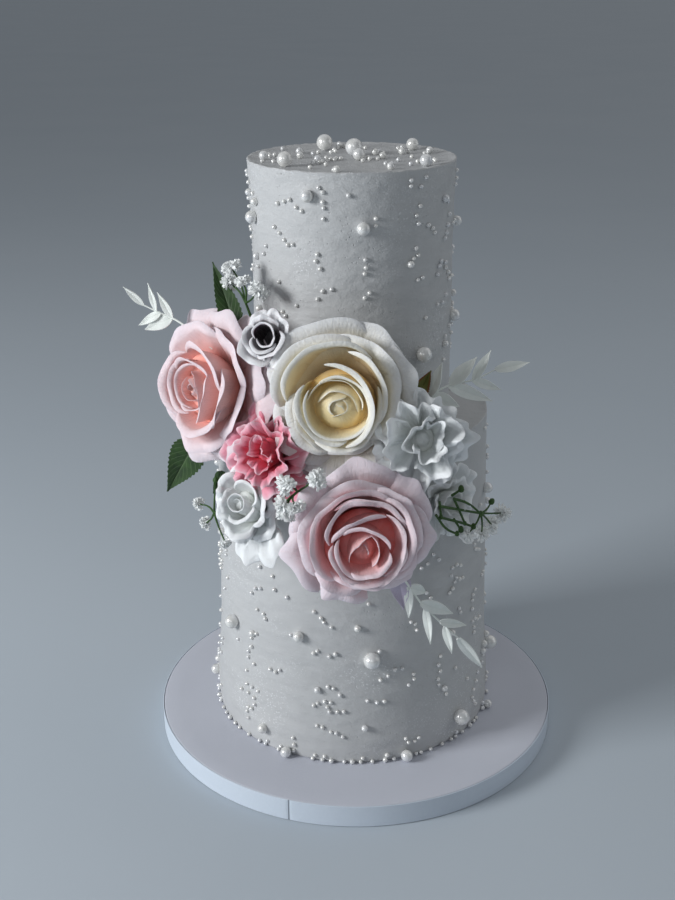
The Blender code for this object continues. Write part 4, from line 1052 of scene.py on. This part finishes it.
def twig(points, thick, thin):
    # A round tapering twig through the points, closed at both ends.
    line = bpy.data.curves.new("twig", "CURVE")
    line.dimensions = "3D"
    line.bevel_depth = thick / 2 * mm
    line.bevel_resolution = 2
    line.resolution_u = 5
    line.use_fill_caps = True
    spline = line.splines.new("BEZIER")
    spline.bezier_points.add(len(points) - 1)
    for number, (knot, spot) in enumerate(zip(spline.bezier_points, points)):
        knot.co = Vector(spot) * mm
        knot.handle_left_type = knot.handle_right_type = "AUTO"
        knot.radius = 1 + (thin / thick - 1) * number / (len(points) - 1)
    made = bpy.data.objects.new("twig", line)
    bpy.context.scene.collection.objects.link(made)
    activate(made)
    bpy.ops.object.convert(target="MESH")
    return weld(bpy.context.object, 0.000001)


def plainUv(thing):
    if not thing.data.uv_layers:
        thing.data.uv_layers.new(name="UVMap")
    return thing


for node, stem, blades in sprays:
    parts = [plainUv(twig(stem, 1.3, 0.8))]
    for base, tip, width in blades:
        parts.append(leafSheet(base, tip, width, (-0.5, -1, 0.45), leafShapes["sage"]))
    whole = joined(parts)
    finishPiece(whole, node + "_dressed", leafCoats["sage_leaf"], "sage_leaf", [node], 50)
print("stage: sprays")

sprigs = (  # root, fork, centres and sizes of florets and of buds, then twigs with a bud at their end
    ("gypsophila_top", (-50, -41, 250), (-53, -41, 259),
     (((-59.9, -34, 275.1), 9), ((-61.2, -34, 267.2), 9.4), ((-54.2, -40, 269.4), 7),
      ((-46.5, -45, 266), 10)), (), ()),
    ("gypsophila_middle", (-24, -95, 181), (-25.5, -109.5, 186),
     (((-30.8, -111, 190.2), 9), ((-16.1, -116, 195.1), 9), ((-32.4, -112, 180.6), 9),
      ((-26.6, -114, 180.2), 8.4), ((-31, -112, 175.6), 8)), (), ()),
    ("gypsophila_left", (-64, -66, 158), (-72, -54, 150),
     (((-81.9, -38, 147.9), 6.2), ((-77.6, -46, 140.4), 6.2), ((-64.6, -72, 141), 4.8)),
     (((-70, -58, 170), 3.0),), ()),
    ("gypsophila_right", (43, -86, 168), (66.2, -60, 152.4),
     (((79.4, -42, 144.4), 8.4), ((73.3, -48, 140.4), 8.6), ((58.8, -68, 143.9), 8.4),
      ((67.6, -56, 139.4), 8.0)),
     (((72.6, -50, 154.4), 3.2),),
     ((((41.4, -86, 163.3), (46.5, -82, 154.4), (52.9, -76, 148.2)), 2.4),
      (((44, -84, 161), (57.3, -70, 151.1), (62.3, -64, 146.6)), 2.8),
      (((43, -86, 170.3), (44, -84, 161)), 2.2),
      (((50.6, -78, 168.5), (58.1, -70, 162.6), (66.2, -60, 152.4)), 2.0),
      (((49.5, -78, 170.2), (54.4, -74, 171.8)), 3.2),
      (((50.6, -78, 168.5), (54, -74, 160), (57.3, -70, 151.1)), 2.0),
      (((51, -77, 157), (55, -74, 149.5)), 3.0))),
)


floret = {"petals": 34, "petalWide": 0.21, "cup": 0.10, "tufts": 3, "apart": 0.22, "tuftSize": 0.44}


def tuftTemplate():
    # Many small cupped petals that stand out all round a ball.
    petals = []
    count = floret["petals"]
    draw = random.Random(3)
    for turn in range(count):
        leafy = grid(2, 3)
        for point in leafy.data.vertices:
            side, along = point.co.x, (point.co.y + 1) / 2
            width = floret["petalWide"] * math.sin(math.pi * min(1, 0.15 + along * 0.62)) ** 0.7
            cup = floret["cup"] * along * along + 0.22 * abs(side) * width
            point.co = (side * width, cup, 0.35 + along * 0.65)
        rise = 1 - 1.72 * (turn + 0.5) / count
        swing = turn * goldenTurn + draw.uniform(-0.3, 0.3)
        flat = math.sqrt(1 - rise * rise)
        way = Vector((math.cos(swing) * flat, math.sin(swing) * flat, rise))
        turned = way.to_track_quat("Z", "Y").to_matrix().to_4x4()
        turned = turned @ Matrix.Rotation(draw.uniform(0, 6), 4, "Z")
        leafy.data.transform(turned @ Matrix.Scale(draw.uniform(0.82, 1.06), 4))
        petals.append(leafy)
    tuft = joined(petals)
    thicken(tuft, 0.07)
    applyAll(tuft)
    return tuft


def tuftLook(w):
    cloud = w.cloud(500, detail=2)
    return {"Base Color": cloud.ranged(0.3, 0.7).tint((0.92, 0.94, 0.93), (0.96, 0.97, 0.96)),
            "Roughness": 0.6 + cloud * 0.15, "Normal": cloud.bump(0.0002, 0.4)}


tuftCoat = coatOf("tuftWhite", {"Subsurface Weight": 0.1, "Subsurface Radius": (1, 1, 1),
                                "Subsurface Scale": 0.001}, tuftLook)
budTemplate = ballTemplate(10, 8, 0.1)
for point in budTemplate.data.vertices:  # drawn out to a point
    point.co.z *= 1.5 if point.co.z > 0 else 1.0
tuftShape = tuftTemplate()
sprigDraw = random.Random(6)
for node, root, fork, florets, buds, ownTwigs in sprigs:
    twigs = [twig((root, fork), 1.5, 1.2)]
    tufts, budPlaces = [], []
    for path, size in ownTwigs:
        twigs.append(twig(path, 1.4, 1.1))
        budPlaces.append(Matrix.Translation(Vector(path[-1]) * mm) @ Matrix.Scale(size / 2 * mm, 4))
    for spot, size in florets + buds:
        bend = (Vector(fork) + Vector(spot)) / 2 + Vector([sprigDraw.uniform(-1.6, 1.6) for axis in range(3)])
        twigs.append(twig((fork, bend, spot), 1.2, 0.8))
        way = (Vector(spot) - bend).normalized().to_track_quat("Z", "Y").to_matrix().to_4x4()
        place = Matrix.Translation(Vector(spot) * mm) @ way
        if (spot, size) in buds:
            budPlaces.append(place @ Matrix.Scale(size / 2 * mm, 4))
            continue
        for part in range(floret["tufts"]):  # a floret is a few tufts that stand close
            offset = Matrix.Rotation(part * 2.1 + sprigDraw.uniform(0, 1), 4, "Z") @ \
                Matrix.Translation((size * floret["apart"] * mm, 0, part * 0.3 * mm))
            spun = Matrix.Rotation(sprigDraw.uniform(0, 6), 4, "Z")
            tufts.append(place @ offset @ spun @ Matrix.Scale(size * floret["tuftSize"] * mm, 4))
    if budPlaces:
        twigs.append(tiled("buds", budTemplate, budPlaces))
    finishPiece(joined(twigs), node + "_twigs", greenCoat, "green_leaf", [node], 50)
    finishPiece(tiled(node, tuftShape, tufts), node + "_tufts", tuftCoat, "gypsophila", [node], 40)
remove(tuftShape)
remove(budTemplate)
print("stage: gypsophila")

# Floor, light and camera

studio = {"floor": (0.515, 0.57, 0.62), "air": (0.46, 0.49, 0.53), "airStrength": 0.275,
          "roomFill": 0.44, "roomFrom": (0.5, 0.6, 1.0), "roomSoft": 70}  # roomSoft is in degrees
lamps = (  # name, place, aimed at, size, watts, colour
    ("windowLight", (-1.25, -0.58, 0.66), (0, 0, 0.17), 0.5, 17.2, (0.96, 0.98, 1.0)),
    ("frontFill", (-0.28, -1.35, 0.84), (0, 0, 0.18), 0.34, 1.25, (0.95, 0.97, 1.0)),
    ("wallBounce", (1.30, -0.02, 0.62), (0, 0, 0.24), 1.0, 2.1, (0.95, 0.98, 1.0)),
)


def floorLook(w):
    return {"Base Color": w.cloud(3, detail=2).tint((0.475, 0.535, 0.59), studio["floor"]),
            "Roughness": 0.6 + w.cloud(40, detail=2) * 0.08}


deselect()
bpy.ops.mesh.primitive_plane_add(size=60, location=(0, 0, 0))
floor = bpy.context.object
floor.name = "floor"
floor.data.materials.append(coatOf("floorPale", {"Specular IOR Level": 0.3}, floorLook))

world = bpy.data.worlds.new("studio")
bpy.context.scene.world = world
world.use_nodes = True
world.node_tree.nodes["Background"].inputs["Color"].default_value = (*studio["air"], 1)
world.node_tree.nodes["Background"].inputs["Strength"].default_value = studio["airStrength"]


def hang(lamp, place, way):  # a lamp shines along its -Z
    holder = bpy.data.objects.new(lamp.name, lamp)
    holder.location = place
    holder.rotation_euler = way.to_euler()
    bpy.context.scene.collection.objects.link(holder)


for name, place, target, size, watts, colour in lamps:
    lamp = bpy.data.lights.new(name, "AREA")
    lamp.energy = watts
    lamp.size = size
    lamp.color = colour
    hang(lamp, place, (Vector(target) - Vector(place)).to_track_quat("-Z", "Y"))
roomFill = bpy.data.lights.new("roomFill", "SUN")  # what the pale room sends back from behind and above
roomFill.energy = studio["roomFill"]
roomFill.angle = math.radians(studio["roomSoft"])
hang(roomFill, (0, 0, 0), Vector(studio["roomFrom"]).to_track_quat("Z", "Y"))

# The camera's place is in metres, its angles in degrees, lens and sensor in millimetres.
photoCamera = {"place": (0.001747, -0.647525, 0.418547), "down": 21.465, "yaw": -0.887, "roll": -0.364,
               "lens": 49.961, "sensor": 36.0}


def addCamera(values):
    down, yaw, roll = (math.radians(values[key]) for key in ("down", "yaw", "roll"))
    ahead = Vector((math.sin(yaw) * math.cos(down), math.cos(yaw) * math.cos(down), -math.sin(down)))
    right = Vector((math.cos(yaw), -math.sin(yaw), 0))
    up = right.cross(ahead)
    turnedRight = math.cos(roll) * right + math.sin(roll) * up
    turnedUp = -math.sin(roll) * right + math.cos(roll) * up
    lens = bpy.data.cameras.new("photoCamera")
    lens.lens = values["lens"]
    lens.sensor_width = values["sensor"]
    camera = bpy.data.objects.new("photoCamera", lens)
    camera.matrix_world = Matrix.Translation(values["place"]) @ \
        Matrix((turnedRight, turnedUp, -ahead)).transposed().to_4x4()
    bpy.context.scene.collection.objects.link(camera)
    bpy.context.scene.camera = camera


addCamera(photoCamera)
bpy.context.scene.view_settings.view_transform = "Standard"
print("stage: studio set")
